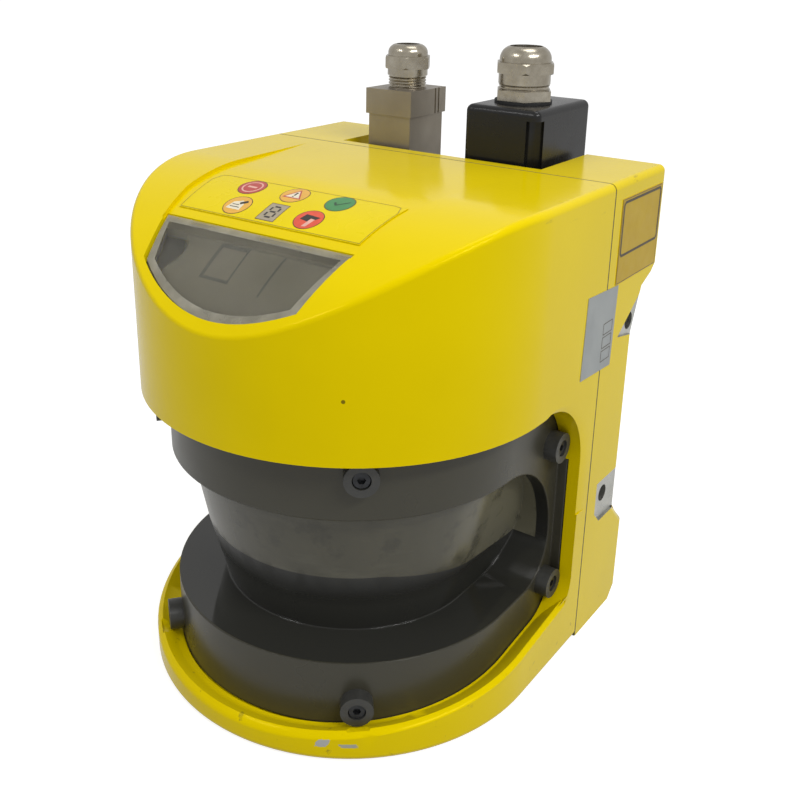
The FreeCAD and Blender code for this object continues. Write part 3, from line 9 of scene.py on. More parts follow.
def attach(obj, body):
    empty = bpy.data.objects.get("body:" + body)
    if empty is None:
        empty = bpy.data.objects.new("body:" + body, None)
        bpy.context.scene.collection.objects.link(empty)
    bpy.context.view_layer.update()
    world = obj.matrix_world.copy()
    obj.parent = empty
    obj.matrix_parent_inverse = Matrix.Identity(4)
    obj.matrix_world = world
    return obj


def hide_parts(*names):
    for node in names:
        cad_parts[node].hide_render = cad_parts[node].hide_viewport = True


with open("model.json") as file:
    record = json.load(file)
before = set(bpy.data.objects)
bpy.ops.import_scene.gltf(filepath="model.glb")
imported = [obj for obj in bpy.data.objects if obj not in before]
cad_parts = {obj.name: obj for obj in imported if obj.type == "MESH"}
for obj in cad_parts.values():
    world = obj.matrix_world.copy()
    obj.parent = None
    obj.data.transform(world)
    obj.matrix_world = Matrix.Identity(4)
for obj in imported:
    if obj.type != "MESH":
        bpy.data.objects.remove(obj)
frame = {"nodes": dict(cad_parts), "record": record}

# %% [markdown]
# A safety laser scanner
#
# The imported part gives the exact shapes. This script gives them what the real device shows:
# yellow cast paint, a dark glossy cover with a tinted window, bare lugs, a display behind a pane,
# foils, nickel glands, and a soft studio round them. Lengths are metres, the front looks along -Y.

bpy.context.scene.view_settings.view_transform = "Standard"
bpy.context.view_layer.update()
MM = 0.001
CROWN_Y, CROWN_Z = -5.0, 94.0   # axis of the cylinder that forms the head's roof, in millimetres

# %% [markdown]
# Colours
#
# Colours are judged on a screen, where they are encoded. Shaders work on light, so each written
# colour is decoded first. Doing it in one place keeps every material readable.


# %% Decode a screen colour
def tone(red, green, blue):
    """A colour written as on screen, 0 to 255, turned into the light values that shaders use."""
    def decode(level):
        level /= 255
        return level / 12.92 if level <= 0.04045 else ((level + 0.055) / 1.055) ** 2.4
    return (decode(red), decode(green), decode(blue), 1.0)


# %% [markdown]
# A finish
#
# Every finish here has the same bones: two close tones mixed by noise, a roughness that wanders a
# little, and a fine relief. Flat values look like plastic toys because real paint, castings and
# mouldings never keep one value over a whole face. The noise reads Object coordinates, so it stays
# with the piece from every side.


# %% Small builders for shader nodes
def node_of(mat, kind, **values):
    """Add a node and set its inputs by name and its options by attribute."""
    made = mat.node_tree.nodes.new(kind)
    for name, value in values.items():
        if name in made.inputs:
            made.inputs[name].default_value = value
        else:
            setattr(made, name, value)
    return made


def wire(mat, start, end):
    mat.node_tree.links.new(start, end)


def noise(mat, scale, detail=3.0, stretch=None, rough=0.55):
    """Noise on Object coordinates, with features of about 1 / scale metres."""
    place = node_of(mat, "ShaderNodeTexCoord").outputs["Object"]
    if stretch:
        mapping = node_of(mat, "ShaderNodeMapping")
        mapping.inputs["Scale"].default_value = stretch
        wire(mat, place, mapping.inputs["Vector"])
        place = mapping.outputs["Vector"]
    made = node_of(mat, "ShaderNodeTexNoise", Scale=scale, Detail=detail, Roughness=rough)
    wire(mat, place, made.inputs["Vector"])
    return made.outputs["Fac"]


def ramp(mat, value, low, high, to_low=0.0, to_high=1.0):
    """Stretch the range low..high of a value to to_low..to_high, and clamp it."""
    made = node_of(mat, "ShaderNodeMapRange")
    made.inputs["From Min"].default_value = low
    made.inputs["From Max"].default_value = high
    made.inputs["To Min"].default_value = to_low
    made.inputs["To Max"].default_value = to_high
    wire(mat, value, made.inputs["Value"])
    return made.outputs["Result"]


def blend_tones(mat, share, first, second):
    """Mix two colours, each a value or a socket."""
    made = node_of(mat, "ShaderNodeMix", data_type="RGBA")
    for index, colour in ((6, first), (7, second)):
        if isinstance(colour, tuple):
            made.inputs[index].default_value = colour
        else:
            wire(mat, colour, made.inputs[index])
    if isinstance(share, float):
        made.inputs[0].default_value = share
    else:
        wire(mat, share, made.inputs[0])
    return made.outputs[2]


def calc(mat, operation, first, second=None):
    """One sum on sockets or numbers."""
    made = node_of(mat, "ShaderNodeMath", operation=operation)
    for index, value in enumerate((first, second)):
        if value is None:
            continue
        if isinstance(value, (int, float)):
            made.inputs[index].default_value = value
        else:
            wire(mat, value, made.inputs[index])
    return made.outputs[0]


def times(mat, *factors):
    """The product of sockets or numbers."""
    product = factors[0]
    for factor in factors[1:]:
        product = calc(mat, "MULTIPLY", product, factor)
    return product


def axes(mat):
    """The three Object coordinates, as sockets."""
    split = node_of(mat, "ShaderNodeSeparateXYZ")
    wire(mat, node_of(mat, "ShaderNodeTexCoord").outputs["Object"], split.inputs[0])
    return split.outputs[0], split.outputs[1], split.outputs[2]


def finish(name, first, second, scale, rough=(0.3, 0.4), relief=0.0, grain=900, metallic=0.0,
           specular=0.5):
    """Two tones mixed by noise, a wandering roughness and a fine relief."""
    mat = bpy.data.materials.new(name)
    mat.use_nodes = True
    shader = mat.node_tree.nodes["Principled BSDF"]
    shader.inputs["Metallic"].default_value = metallic
    shader.inputs["Specular IOR Level"].default_value = specular
    cloud = ramp(mat, noise(mat, scale), 0.3, 0.7)
    wire(mat, blend_tones(mat, cloud, first, second), shader.inputs["Base Color"])
    wire(mat, ramp(mat, noise(mat, scale * 2.3), 0.3, 0.7, *rough), shader.inputs["Roughness"])
    if relief:
        bump = node_of(mat, "ShaderNodeBump", Distance=0.0004, Strength=relief)
        wire(mat, noise(mat, grain, detail=2.0), bump.inputs["Height"])
        wire(mat, bump.outputs[0], shader.inputs["Normal"])
    return mat, shader


def recolour(mat, shader, share, colour):
    """Lay another colour over what already feeds the shader, where share is 1."""
    before = shader.inputs["Base Color"].links[0].from_socket
    wire(mat, blend_tones(mat, share, before, colour), shader.inputs["Base Color"])


def reroughen(mat, shader, share, value):
    """Lay another roughness over what already feeds the shader."""
    before = shader.inputs["Roughness"].links[0].from_socket
    made = node_of(mat, "ShaderNodeMix", data_type="FLOAT")
    wire(mat, share, made.inputs[0])
    wire(mat, before, made.inputs[2])
    made.inputs[3].default_value = value
    wire(mat, made.outputs[0], shader.inputs["Roughness"])


def near(mat, spot, reach):
    """1 close to a spot, 0 beyond its reach."""
    gap = node_of(mat, "ShaderNodeVectorMath", operation="DISTANCE")
    wire(mat, node_of(mat, "ShaderNodeTexCoord").outputs["Object"], gap.inputs[0])
    gap.inputs[1].default_value = spot
    return ramp(mat, gap.outputs["Value"], reach * 0.86, reach, 1.0, 0.0)


# %% [markdown]
# Yellow cast paint
#
# The shells are aluminium castings with a thick, glossy coat. Close up such a coat has an orange
# peel of about a millimetre. The device has been in use: grey metal shows in two chips on the rim's
# outer face, dark scuffs lie low on the rim, a speck sits on the head's front, and grime has gathered
# at the top edge.

# %% The yellow paint with its wear
yellow, yellow_shader = finish("yellow_cast_paint", tone(224, 198, 0), tone(232, 206, 0), 14,
                               rough=(0.13, 0.19), relief=0.1, grain=620, specular=0.2)
x, y, z = axes(yellow)
speckle = ramp(yellow, noise(yellow, 260, detail=5.0), 0.66, 0.74)
low_band = ramp(yellow, z, 0.019, 0.008)
recolour(yellow, yellow_shader, times(yellow, speckle, low_band, 0.55), tone(96, 84, 40))
streak = ramp(yellow, noise(yellow, 60, detail=6.0, stretch=(1, 1, 9)), 0.68, 0.78)
top_edge = times(yellow, ramp(yellow, z, 0.170, 0.184), ramp(yellow, x, 0.066, 0.076))
recolour(yellow, yellow_shader, times(yellow, streak, top_edge, 0.7), tone(120, 104, 50))
RIM_ALONG = (0.82, 0.57)   # direction of the rim where the chips are


def chip(mat, spot, half_long, half_high, lean):
    """1 inside a slanted four-sided patch of the rim, 0 outside, with a slightly frayed border."""
    x, y, z = axes(mat)
    along = calc(mat, "ADD", times(mat, calc(mat, "SUBTRACT", x, spot[0]), RIM_ALONG[0]),
                 times(mat, calc(mat, "SUBTRACT", y, spot[1]), RIM_ALONG[1]))
    upward = calc(mat, "SUBTRACT", z, spot[2])
    slanted = calc(mat, "ADD", along, times(mat, upward, lean))
    far_long = calc(mat, "DIVIDE", calc(mat, "ABSOLUTE", slanted), half_long)
    far_high = calc(mat, "DIVIDE", calc(mat, "ABSOLUTE", upward), half_high)
    fray = times(mat, calc(mat, "SUBTRACT", noise(mat, 1100), 0.5), 0.9)
    away = calc(mat, "ADD", calc(mat, "MAXIMUM", far_long, far_high), fray)
    inside = ramp(mat, away, 0.96, 1.04, 1.0, 0.0)
    from_axis = calc(mat, "SQRT", calc(mat, "ADD", times(mat, x, x), times(mat, y, y)))
    outer_face = times(mat, ramp(mat, y, -0.045, -0.046), ramp(mat, from_axis, 0.0758, 0.0762))
    return times(mat, inside, outer_face)


for spot, half_long, half_high, lean, colour in (
        ((0.0383, -0.0674, 0.0078), 0.0021, 0.0015, -0.5, tone(176, 178, 176)),
        ((0.0456, -0.0626, 0.0070), 0.0030, 0.0007, 0.5, tone(166, 166, 156))):
    recolour(yellow, yellow_shader, chip(yellow, spot, half_long, half_high, lean), colour)
recolour(yellow, yellow_shader, near(yellow, (0.0441, -0.0637, 0.1339), 0.0007), tone(120, 104, 20))
yellow_shader.inputs["Specular Tint"].default_value = tone(255, 226, 70)
print("yellow paint", len(yellow.node_tree.nodes), "nodes")

# %% [markdown]
# Bare metal of the lugs
#
# The lugs are milled after painting, so the coat ends at a sharp edge and rings from the cutter run
# round the threaded hole. Rings come from the distance to the hole's axis through a sine.

# %% Milled aluminium
LUG_HOLES = ((0.0616, 0.058), (0.0706, 0.1282))


def milled(name, centre):
    """Bare metal with cutter rings round a hole, given by its (y, z)."""
    mat, shader = finish(name, tone(190, 190, 184), tone(174, 174, 167), 160, rough=(0.26, 0.34),
                         metallic=0.9)
    x, y, z = axes(mat)
    across = calc(mat, "SUBTRACT", y, centre[0])
    upward = calc(mat, "SUBTRACT", z, centre[1])
    away = calc(mat, "SQRT", calc(mat, "ADD", times(mat, across, across), times(mat, upward, upward)))
    rings = calc(mat, "SINE", times(mat, away, 6500))
    bump = node_of(mat, "ShaderNodeBump", Distance=0.0001, Strength=0.2)
    wire(mat, rings, bump.inputs["Height"])
    wire(mat, bump.outputs[0], shader.inputs["Normal"])
    return mat


lug_metals = [milled("milled_lug_%s" % end, centre) for end, centre in zip(("low", "high"), LUG_HOLES)]
print("lug metals", [metal.name for metal in lug_metals])

# %% [markdown]
# The cover of the optics
#
# One dark moulding with three looks: a satin outer band, a polished ledge and waist, and the tinted
# window that the beam leaves through. The border of the window isn't an edge of the mesh, it is a
# change of finish on one smooth wall, so the material finds it from the height and the place. It
# falls towards the sides. The upper waist is duller, or it would mirror the ledge's relief.

# %% Dark moulding and tinted window
cover, cover_shader = finish("dark_cover_moulding", tone(57, 55, 44), tone(61, 59, 48), 22,
                             rough=(0.26, 0.36), relief=0.015, grain=420, specular=0.4)
x, y, z = axes(cover)
frontal = calc(cover, "MINIMUM", y, 0.0)
radius = calc(cover, "SQRT", calc(cover, "ADD", times(cover, x, x), times(cover, frontal, frontal)))
between = times(cover, ramp(cover, z, 0.0326, 0.0329), ramp(cover, z, 0.0885, 0.0880))
in_slot = times(cover, ramp(cover, radius, 0.0676, 0.0672), between)
recolour(cover, cover_shader, in_slot, tone(47, 47, 43))
reroughen(cover, cover_shader, in_slot, 0.07)
upper_waist = times(cover, in_slot, ramp(cover, z, 0.044, 0.052))
recolour(cover, cover_shader, upper_waist, tone(33, 33, 30))
reroughen(cover, cover_shader, upper_waist, 0.4)
wire(cover, ramp(cover, in_slot, 0.0, 1.0, 0.4, 0.5), cover_shader.inputs["Specular IOR Level"])
rounded = node_of(cover, "ShaderNodeBevel", samples=4, Radius=0.0009)
cover_bump = cover_shader.inputs["Normal"].links[0].from_node
wire(cover, rounded.outputs[0], cover_bump.inputs["Normal"])
fall = calc(cover, "ADD", ramp(cover, y, -0.038, -0.009, 0.0, 0.0063),
            ramp(cover, y, -0.009, 0.028, 0.0, 0.0054))
above_border = calc(cover, "SUBTRACT", z, calc(cover, "SUBTRACT", 0.0586, fall))
# Painted light: towards the rear the window gets a lighter tone, which offsets the shade that falls on
# that side of the wall.
painted_light_rear = times(cover, in_slot, ramp(cover, y, -0.020, 0.005))
window = times(cover, in_slot, ramp(cover, above_border, -0.0001, 0.0001),
               ramp(cover, radius, 0.0628, 0.0624), ramp(cover, z, 0.0876, 0.0872))
dust = ramp(cover, noise(cover, 46, detail=6.0, stretch=(1, 1, 0.5)), 0.35, 0.7)
recolour(cover, cover_shader, window, tone(66, 64, 51))
recolour(cover, cover_shader, times(cover, window, dust, 0.5), tone(84, 81, 66))
wiped = ramp(cover, noise(cover, 30, detail=4.0, stretch=(1, 1, 4)), 0.55, 0.75)
recolour(cover, cover_shader, times(cover, window, wiped, 0.35), tone(96, 94, 80))
recolour(cover, cover_shader, times(cover, window, painted_light_rear, 0.7), tone(116, 113, 95))
blotch = ramp(cover, noise(cover, 95, detail=6.0), 0.56, 0.66)
recolour(cover, cover_shader, times(cover, window, blotch, 0.45), tone(44, 43, 34))
reroughen(cover, cover_shader, window, 0.24)
print("cover", len(cover.node_tree.nodes), "nodes")

# %% [markdown]
# The smaller finishes
#
# Each has its own two tones, grain and gloss: die-cast zinc, moulded hood, nickel plate, turned
# brass under nickel, screws, rubber, boards, tray, pane and foils.

# %% Finishes of the small pieces
bush_black = finish("bush_black", tone(50, 50, 48), tone(58, 58, 55), 300, rough=(0.35, 0.5),
                    relief=0.1)[0]
screw_steel = finish("screw_steel", tone(40, 41, 43), tone(56, 57, 60), 500, rough=(0.28, 0.42),
                     metallic=0.6)[0]
rubber = finish("rubber", tone(26, 26, 26), tone(34, 34, 33), 400, rough=(0.6, 0.75), relief=0.1)[0]
gasket_green = finish("gasket_grey_green", tone(66, 68, 52), tone(84, 84, 62), 400, rough=(0.6, 0.75),
                      relief=0.1)[0]
zinc = finish("die_cast_zinc", tone(140, 132, 120), tone(154, 146, 132), 60, rough=(0.34, 0.46),
              relief=0.1, grain=2200, metallic=0.75)[0]
moulded = finish("black_hood_moulding", tone(17, 17, 18), tone(22, 22, 23), 40, rough=(0.22, 0.3),
                 relief=0.04, grain=700, specular=0.35)[0]
nickel = finish("nickel_plate", tone(184, 177, 162), tone(158, 150, 134), 220, rough=(0.2, 0.3),
                relief=0.04, metallic=1.0)[0]
tray = finish("tray_grey", tone(90, 85, 69), tone(106, 101, 84), 50, rough=(0.4, 0.55), relief=0.05)[0]
display_dark = finish("display_face", tone(44, 42, 38), tone(52, 50, 46), 300, rough=(0.4, 0.5))[0]
segment_pale = finish("segment_pale", tone(176, 172, 160), tone(190, 186, 174), 800,
                      rough=(0.4, 0.5))[0]
board_green = finish("board_green", tone(26, 74, 44), tone(32, 84, 50), 200, rough=(0.35, 0.5))[0]
turned = finish("turned_metal", tone(180, 180, 178), tone(160, 160, 158), 250, rough=(0.25, 0.35),
                metallic=0.95)[0]
motor_grey = finish("motor_grey", tone(120, 122, 124), tone(134, 136, 138), 120, rough=(0.3, 0.4),
                    metallic=0.8)[0]
mirror_face = finish("mirror_face", tone(232, 234, 236), tone(224, 226, 230), 30, rough=(0.02, 0.04),
                     metallic=1.0)[0]
lens_tint = finish("lens_tint", tone(60, 24, 26), tone(48, 20, 24), 30, rough=(0.05, 0.08))[0]
contact_block = finish("contact_block", tone(38, 38, 40), tone(46, 46, 48), 300, rough=(0.4, 0.5))[0]
foil_yellow, foil_yellow_shader = finish("panel_foil", tone(224, 201, 0), tone(230, 207, 3), 40,
                                         rough=(0.24, 0.3), relief=0.01, specular=0.25)
foil_yellow_shader.inputs["Specular Tint"].default_value = tone(255, 226, 70)
foil_amber = finish("label_amber", tone(190, 160, 41), tone(184, 153, 38), 90, rough=(0.38, 0.48),
                    relief=0.03, specular=0.25)[0]
foil_grey = finish("sticker_grey", tone(148, 152, 152), tone(158, 162, 161), 60, rough=(0.35, 0.5),
                   relief=0.04, specular=0.3)[0]
ink_dark = finish("ink_dark", tone(58, 48, 30), tone(70, 58, 36), 600, rough=(0.4, 0.5))[0]
print("finishes so far", len(bpy.data.materials))

# %% [markdown]
# The pane over the display
#
# It is clear plastic that has gone milky from dust and wiping. A thin share of grey dust on a glass
# shader gives that look and still lets the tray and the digit show through.

# %% Dusty clear plastic
pane = bpy.data.materials.new("dusty_pane")
pane.use_nodes = True
pane_shader = pane.node_tree.nodes["Principled BSDF"]
pane_shader.inputs["Transmission Weight"].default_value = 1.0
pane_shader.inputs["IOR"].default_value = 1.3
pane_shader.inputs["Roughness"].default_value = 0.03
haze = ramp(pane, noise(pane, 40), 0.3, 0.7)
wire(pane, blend_tones(pane, haze, tone(236, 236, 228), tone(224, 224, 214)),
     pane_shader.inputs["Base Color"])
veil = node_of(pane, "ShaderNodeBsdfDiffuse")
veil.inputs["Color"].default_value = tone(168, 164, 152)
pane_mix = node_of(pane, "ShaderNodeMixShader")
patches = ramp(pane, noise(pane, 70, detail=5.0, stretch=(0.4, 1, 1)), 0.3, 0.75, 0.03, 0.16)
wire(pane, patches, pane_mix.inputs[0])
wire(pane, pane_shader.outputs[0], pane_mix.inputs[1])
wire(pane, veil.outputs[0], pane_mix.inputs[2])
wire(pane, pane_mix.outputs[0], pane.node_tree.nodes["Material Output"].inputs["Surface"])

# %% [markdown]
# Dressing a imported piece
#
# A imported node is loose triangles, which shade as facets. A copy with its doubles merged can shade
# smoothly: edges sharper than a limit stay sharp, and on the hoods a small bevel lets them catch light
# as every real edge does. Long thin triangles at a bore or a rounding would tilt the shading of the
# flat beside them, so large flat regions lead at each corner. The copy then stands for the node.

# %% Dress a node
BODY_OF = {name: body for body, names in frame["record"]["behaviour"]["bodies"].items()
           for name in names}
FLAT_COSINE = math.cos(math.radians(0.3))   # faces closer than this to one plane form one region
FLAT_LEAST = 2e-5                           # least area of a flat region that leads, square metres
FLAT_LEAD = 50
dressed = {}


def merged_copy(name):
    """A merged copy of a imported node's mesh, as a new object."""
    mesh = frame["nodes"][name].data.copy()
    mesh.materials.clear()
    shape = bmesh.new()
    shape.from_mesh(mesh)
    bmesh.ops.remove_doubles(shape, verts=shape.verts, dist=2e-6)
    shape.to_mesh(mesh)
    shape.free()
    obj = bpy.data.objects.new(name + "_dressed", mesh)
    bpy.context.scene.collection.objects.link(obj)
    return obj


def settle(obj):
    """Apply the modifiers of an object, so that its mesh is final."""
    bpy.context.view_layer.update()
    graph = bpy.context.evaluated_depsgraph_get()
    mesh = bpy.data.meshes.new_from_object(obj.evaluated_get(graph))
    obj.modifiers.clear()
    obj.data = mesh
    return obj


def join_flats(obj):
    """Join the triangles of each flat face, so that a bevel meets only real edges."""
    shape = bmesh.new()
    shape.from_mesh(obj.data)
    bmesh.ops.dissolve_limit(shape, angle_limit=math.radians(0.3), verts=shape.verts, edges=shape.edges)
    shape.to_mesh(obj.data)
    shape.free()


def flat_areas(mesh):
    """For each face, how much it leads the shading at its corners: large flat regions lead."""
    group = list(range(len(mesh.polygons)))

    def root(index):
        while group[index] != index:
            group[index] = group[group[index]]
            index = group[index]
        return index

    owners = {}
    for face in mesh.polygons:
        for key in face.edge_keys:
            owners.setdefault(key, []).append(face.index)
    for pair in owners.values():
        if len(pair) == 2:
            first, second = (mesh.polygons[index] for index in pair)
            if first.normal.dot(second.normal) > FLAT_COSINE:
                group[root(pair[0])] = root(pair[1])
    total, members = {}, {}
    for face in mesh.polygons:
        key = root(face.index)
        total[key] = total.get(key, 0.0) + face.area
        members[key] = members.get(key, 0) + 1
    flats = {key for key in total if members[key] > 2 and total[key] > FLAT_LEAST}
    return [total[root(index)] * FLAT_LEAD if root(index) in flats else mesh.polygons[index].area
            for index in range(len(group))], owners


def corner_angle(mesh, index, vert):
    """The angle of a face at one of its corners."""
    corners = list(mesh.polygons[index].vertices)
    spot = corners.index(vert)
    here = mesh.vertices[vert].co
    before = mesh.vertices[corners[spot - 1]].co - here
    after = mesh.vertices[corners[(spot + 1) % len(corners)]].co - here
    return before.angle(after, 0.0)


def smooth_out(obj, sharp):
    """Smooth shading between sharp edges, in which each corner follows its largest flat region."""
    mesh = obj.data
    mesh.shade_smooth()
    areas, owners = flat_areas(mesh)
    sharp_cosine = math.cos(math.radians(sharp))
    smooth_pairs = {}
    for key, pair in owners.items():
        if len(pair) == 2:
            first, second = (mesh.polygons[index] for index in pair)
            if first.normal.dot(second.normal) > sharp_cosine:
                for vert in key:
                    smooth_pairs.setdefault((vert, pair[0]), []).append(pair[1])
                    smooth_pairs.setdefault((vert, pair[1]), []).append(pair[0])
    normals = [None] * len(mesh.loops)
    for face in mesh.polygons:
        for loop_index in face.loop_indices:
            vert = mesh.loops[loop_index].vertex_index
            fan, queue = {face.index}, [face.index]
            while queue:
                for other in smooth_pairs.get((vert, queue.pop()), ()):
                    if other not in fan:
                        fan.add(other)
                        queue.append(other)
            summed = Vector((0, 0, 0))
            for index in fan:
                weight = areas[index] * corner_angle(mesh, index, vert)
                summed += mesh.polygons[index].normal * weight * 1e6
            normals[loop_index] = tuple(summed.normalized() if summed.length > 1e-20 else face.normal)
    mesh.normals_split_custom_set(normals)


def dress(name, material, bevel=0.0, sharp=32.0, parts=2, shift=None):
    """Copy, bevel, smooth and paint a node, and let the copy stand for it."""
    obj = merged_copy(name)
    shape = bmesh.new()
    shape.from_mesh(obj.data)
    if shift:
        for vert in shape.verts:
            shift(vert.co)
    shape.to_mesh(obj.data)
    shape.free()
    if bevel:
        join_flats(obj)
        modifier = obj.modifiers.new("edge", "BEVEL")
        modifier.width = bevel
        modifier.segments = parts
        modifier.limit_method = "ANGLE"
        modifier.angle_limit = math.radians(sharp)
        settle(obj)
    smooth_out(obj, sharp)
    obj.data.materials.clear()
    obj.data.materials.append(material)
    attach(obj, BODY_OF[name])
    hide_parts(name)
    dressed[name] = obj
    return obj


# %% Dress the large pieces
MILLED_X = 0.0766
LUG_BOXES = ((0.0530, 0.0740, 0.0465, 0.0660), (0.0585, 0.0845, 0.1210, 0.1392))
LUG_FLOORS = (0.0725, 0.0719)


def raise_lugs(point):
    """Lift the floor of each lug's recess to just under the paint, where the photograph shows it."""
    for floor_x, (y_low, y_high, z_low, z_high) in zip(LUG_FLOORS, LUG_BOXES):
        inside_lug = y_low < point.y < y_high and z_low < point.z < z_high
        if inside_lug and abs(abs(point.x) - floor_x) < 0.00005:
            point.x = math.copysign(MILLED_X, point.x)


front = dress("front_housing", yellow)
rear = dress("rear_housing", yellow, shift=raise_lugs)
optics = dress("optics_cover", cover, sharp=10)
print("shells", [len(item.data.polygons) for item in (front, rear, optics)])

# %% [markdown]
# Milled faces
#
# A face of the rear shell belongs to a lug when all its corners lie inside the lug's outline on one
# side, and its middle below the painted side. Those faces get the milled metal by their index.

# %% Give the lugs their metal
for metal in lug_metals:
    rear.data.materials.append(metal)
MARGIN = 0.0006
PAINTED_X = 0.07745
count = 0
for face in rear.data.polygons:
    spot = face.center
    corners = [rear.data.vertices[vert].co for vert in face.vertices]
    for index, (y_low, y_high, z_low, z_high) in enumerate(LUG_BOXES, start=1):
        within = all(y_low - MARGIN < co.y < y_high + MARGIN and z_low - MARGIN < co.z < z_high + MARGIN
                     and 0.060 < co.x * math.copysign(1, spot.x) for co in corners)
        if within and abs(spot.x) < PAINTED_X:
            face.material_index = index
            count += 1
print("milled faces", count)

# %% Grey wall of the window opening
front.data.materials.append(tray)
count = 0
for face in front.data.polygons:
    spot = face.center
    reach = math.hypot(spot.y - CROWN_Y * MM, spot.z - CROWN_Z * MM)
    inner = reach < 0.0869 and math.hypot(spot.x, spot.y) < 0.0762
    if inner and spot.y < -0.040 and abs(spot.x) < 0.046 and spot.z > 0.140:
        face.material_index = 1
        count += 1
print("faces of the opening", count)

# %% [markdown]
# Small shifts
#
# A few pieces move to where the real ones sit: the side foils sink a little to leave room for their
# print, the squeezed seal comes out almost flush, and the tray and the digit rise to just under the
# pane.

# %% Shift points of a piece
SWELL = 0.00035
TRAY_LIFT = 3.2


def sink_foil(point):
    """Leave room for the print between the foil and the outermost plane."""
    if point.x > 0.07775:
        point.x = 0.07772


def swell_gasket(point):
    """Let the seal come almost flush with the paint, as a squeezed seal does."""
    across, upward = abs(point.x) - 0.0745, point.z - 0.182
    if across > -1e-6 and upward > -1e-6:
        reach = math.hypot(across, upward)
        if reach > 0.0025:
            point.x += math.copysign(across / reach * SWELL, point.x)
            point.z += upward / reach * SWELL
    elif across > 0.0025:
        point.x += math.copysign(SWELL, point.x)
    elif upward > 0.0025:
        point.z += SWELL


def lift_tray(point):
    """Bring the tray and the digit up to just under the pane, and over to their place in the photo."""
    depth, height = point.y - CROWN_Y * MM, point.z - CROWN_Z * MM
    reach = math.hypot(depth, height)
    if reach > 0.0815:
        share = (reach + TRAY_LIFT * MM) / reach
        point.y = CROWN_Y * MM + depth * share
        point.z = CROWN_Z * MM + height * share
        point.x = min(point.x + 0.0035, 0.0345)


SHIFTS = {"side_label": sink_foil, "inspection_sticker": sink_foil, "housing_gasket": swell_gasket,
          "light_guide": lift_tray, "digit_display": lift_tray}
print("shifted pieces", sorted(SHIFTS))

# %% Dress the small pieces
PLAIN = (
    ("cover_seal", rubber, "rubber"), ("cover_screw_bushes", bush_black, "dark_matte"),
    ("cover_screws", screw_steel, "steel"), ("light_guide", tray, "grey_tray"),
    ("digit_display", display_dark, "display"), ("icon_label", foil_yellow, "foil"),
    ("status_lamps", pane, "clear"), ("housing_gasket", gasket_green, "rubber"),
    ("housing_screws", screw_steel, "steel"), ("side_label", foil_amber, "amber_foil"),
    ("inspection_sticker", foil_grey, "grey_foil"), ("small_gland_body", nickel, "nickel"),
    ("small_gland_nut", nickel, "nickel"), ("small_gland_seal", rubber, "rubber"),
    ("large_hood_screws", screw_steel, "steel"),
    ("large_gland_washer", rubber, "rubber"), ("large_gland_body", nickel, "nickel"),
    ("large_gland_nut", nickel, "nickel"), ("large_gland_seal", rubber, "rubber"),
    ("small_socket", contact_block, "contact_block"), ("small_plug", contact_block, "contact_block"),
    ("large_socket", contact_block, "contact_block"), ("large_plug", contact_block, "contact_block"),
    ("optics_plate", turned, "turned_metal"), ("receiver_lens", lens_tint, "lens"),
    ("laser_module", turned, "turned_metal"), ("receiver_board", board_green, "board"),
    ("indicator_board", board_green, "board"), ("board_posts", turned, "turned_metal"),
    ("motor_bracket", turned, "turned_metal"), ("scan_motor", motor_grey, "motor"),
    ("rotor_shaft", turned, "turned_metal"), ("encoder_disc", turned, "turned_metal"),
    ("mirror_holder", motor_grey, "motor"), ("scan_mirror", mirror_face, "mirror"),
    ("light_barrier", contact_block, "contact_block"), ("main_board", board_green, "board"),
    ("main_board_posts", turned, "turned_metal"),
)
for name, material, slot in PLAIN:
    dress(name, material, shift=SHIFTS.get(name))
dress("display_window", pane)
dress("small_hood_front", zinc, bevel=0.0006, parts=3)
dress("small_hood_rear", zinc, bevel=0.0004)
dress("large_hood", moulded, bevel=0.0005, parts=3)
print("dressed", len(dressed), "of", len(frame["nodes"]))

# %% [markdown]
# Printed panel
#
# The status signs are printed on the foil in thin flat colours. The roof under them is a cylinder,
# so a print is first drawn flat, cut into narrow strips and then laid onto that cylinder. Strips
# keep it from cutting through the curve. Later prints lie a few hundredths of a millimetre higher.

# %% Flat prints laid on the curved roof
STRIP = 1.2


def circle(middle_x, middle_y, radius, squeeze=1.0, steps=40):
    """Points round a circle, squeezed in depth where the roof slopes away."""
    turns = [2 * math.pi * step / steps for step in range(steps)]
    return [(middle_x + radius * math.cos(turn), middle_y + radius * squeeze * math.sin(turn))
            for turn in turns]


def loop_band(outer, inner):
    """Quads between two closed outlines with the same number of points."""
    count = len(outer)
    return [(outer[i], outer[(i + 1) % count], inner[(i + 1) % count], inner[i]) for i in range(count)]


def stroke(start, end, width):
    """A straight printed line as one quad."""
    along = Vector((end[0] - start[0], end[1] - start[1])).normalized() * (width / 2)
    side = Vector((-along.y, along.x))
    return [(start[0] + side.x, start[1] + side.y), (start[0] - side.x, start[1] - side.y),
            (end[0] - side.x, end[1] - side.y), (end[0] + side.x, end[1] + side.y)]


def finish_piece(name, shape, material):
    """Turn a bmesh into a piece of the housing."""
    mesh = bpy.data.meshes.new(name)
    shape.to_mesh(mesh)
    shape.free()
    obj = bpy.data.objects.new(name, mesh)
    bpy.context.scene.collection.objects.link(obj)
    mesh.materials.append(material)
    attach(obj, "housing")
    return obj


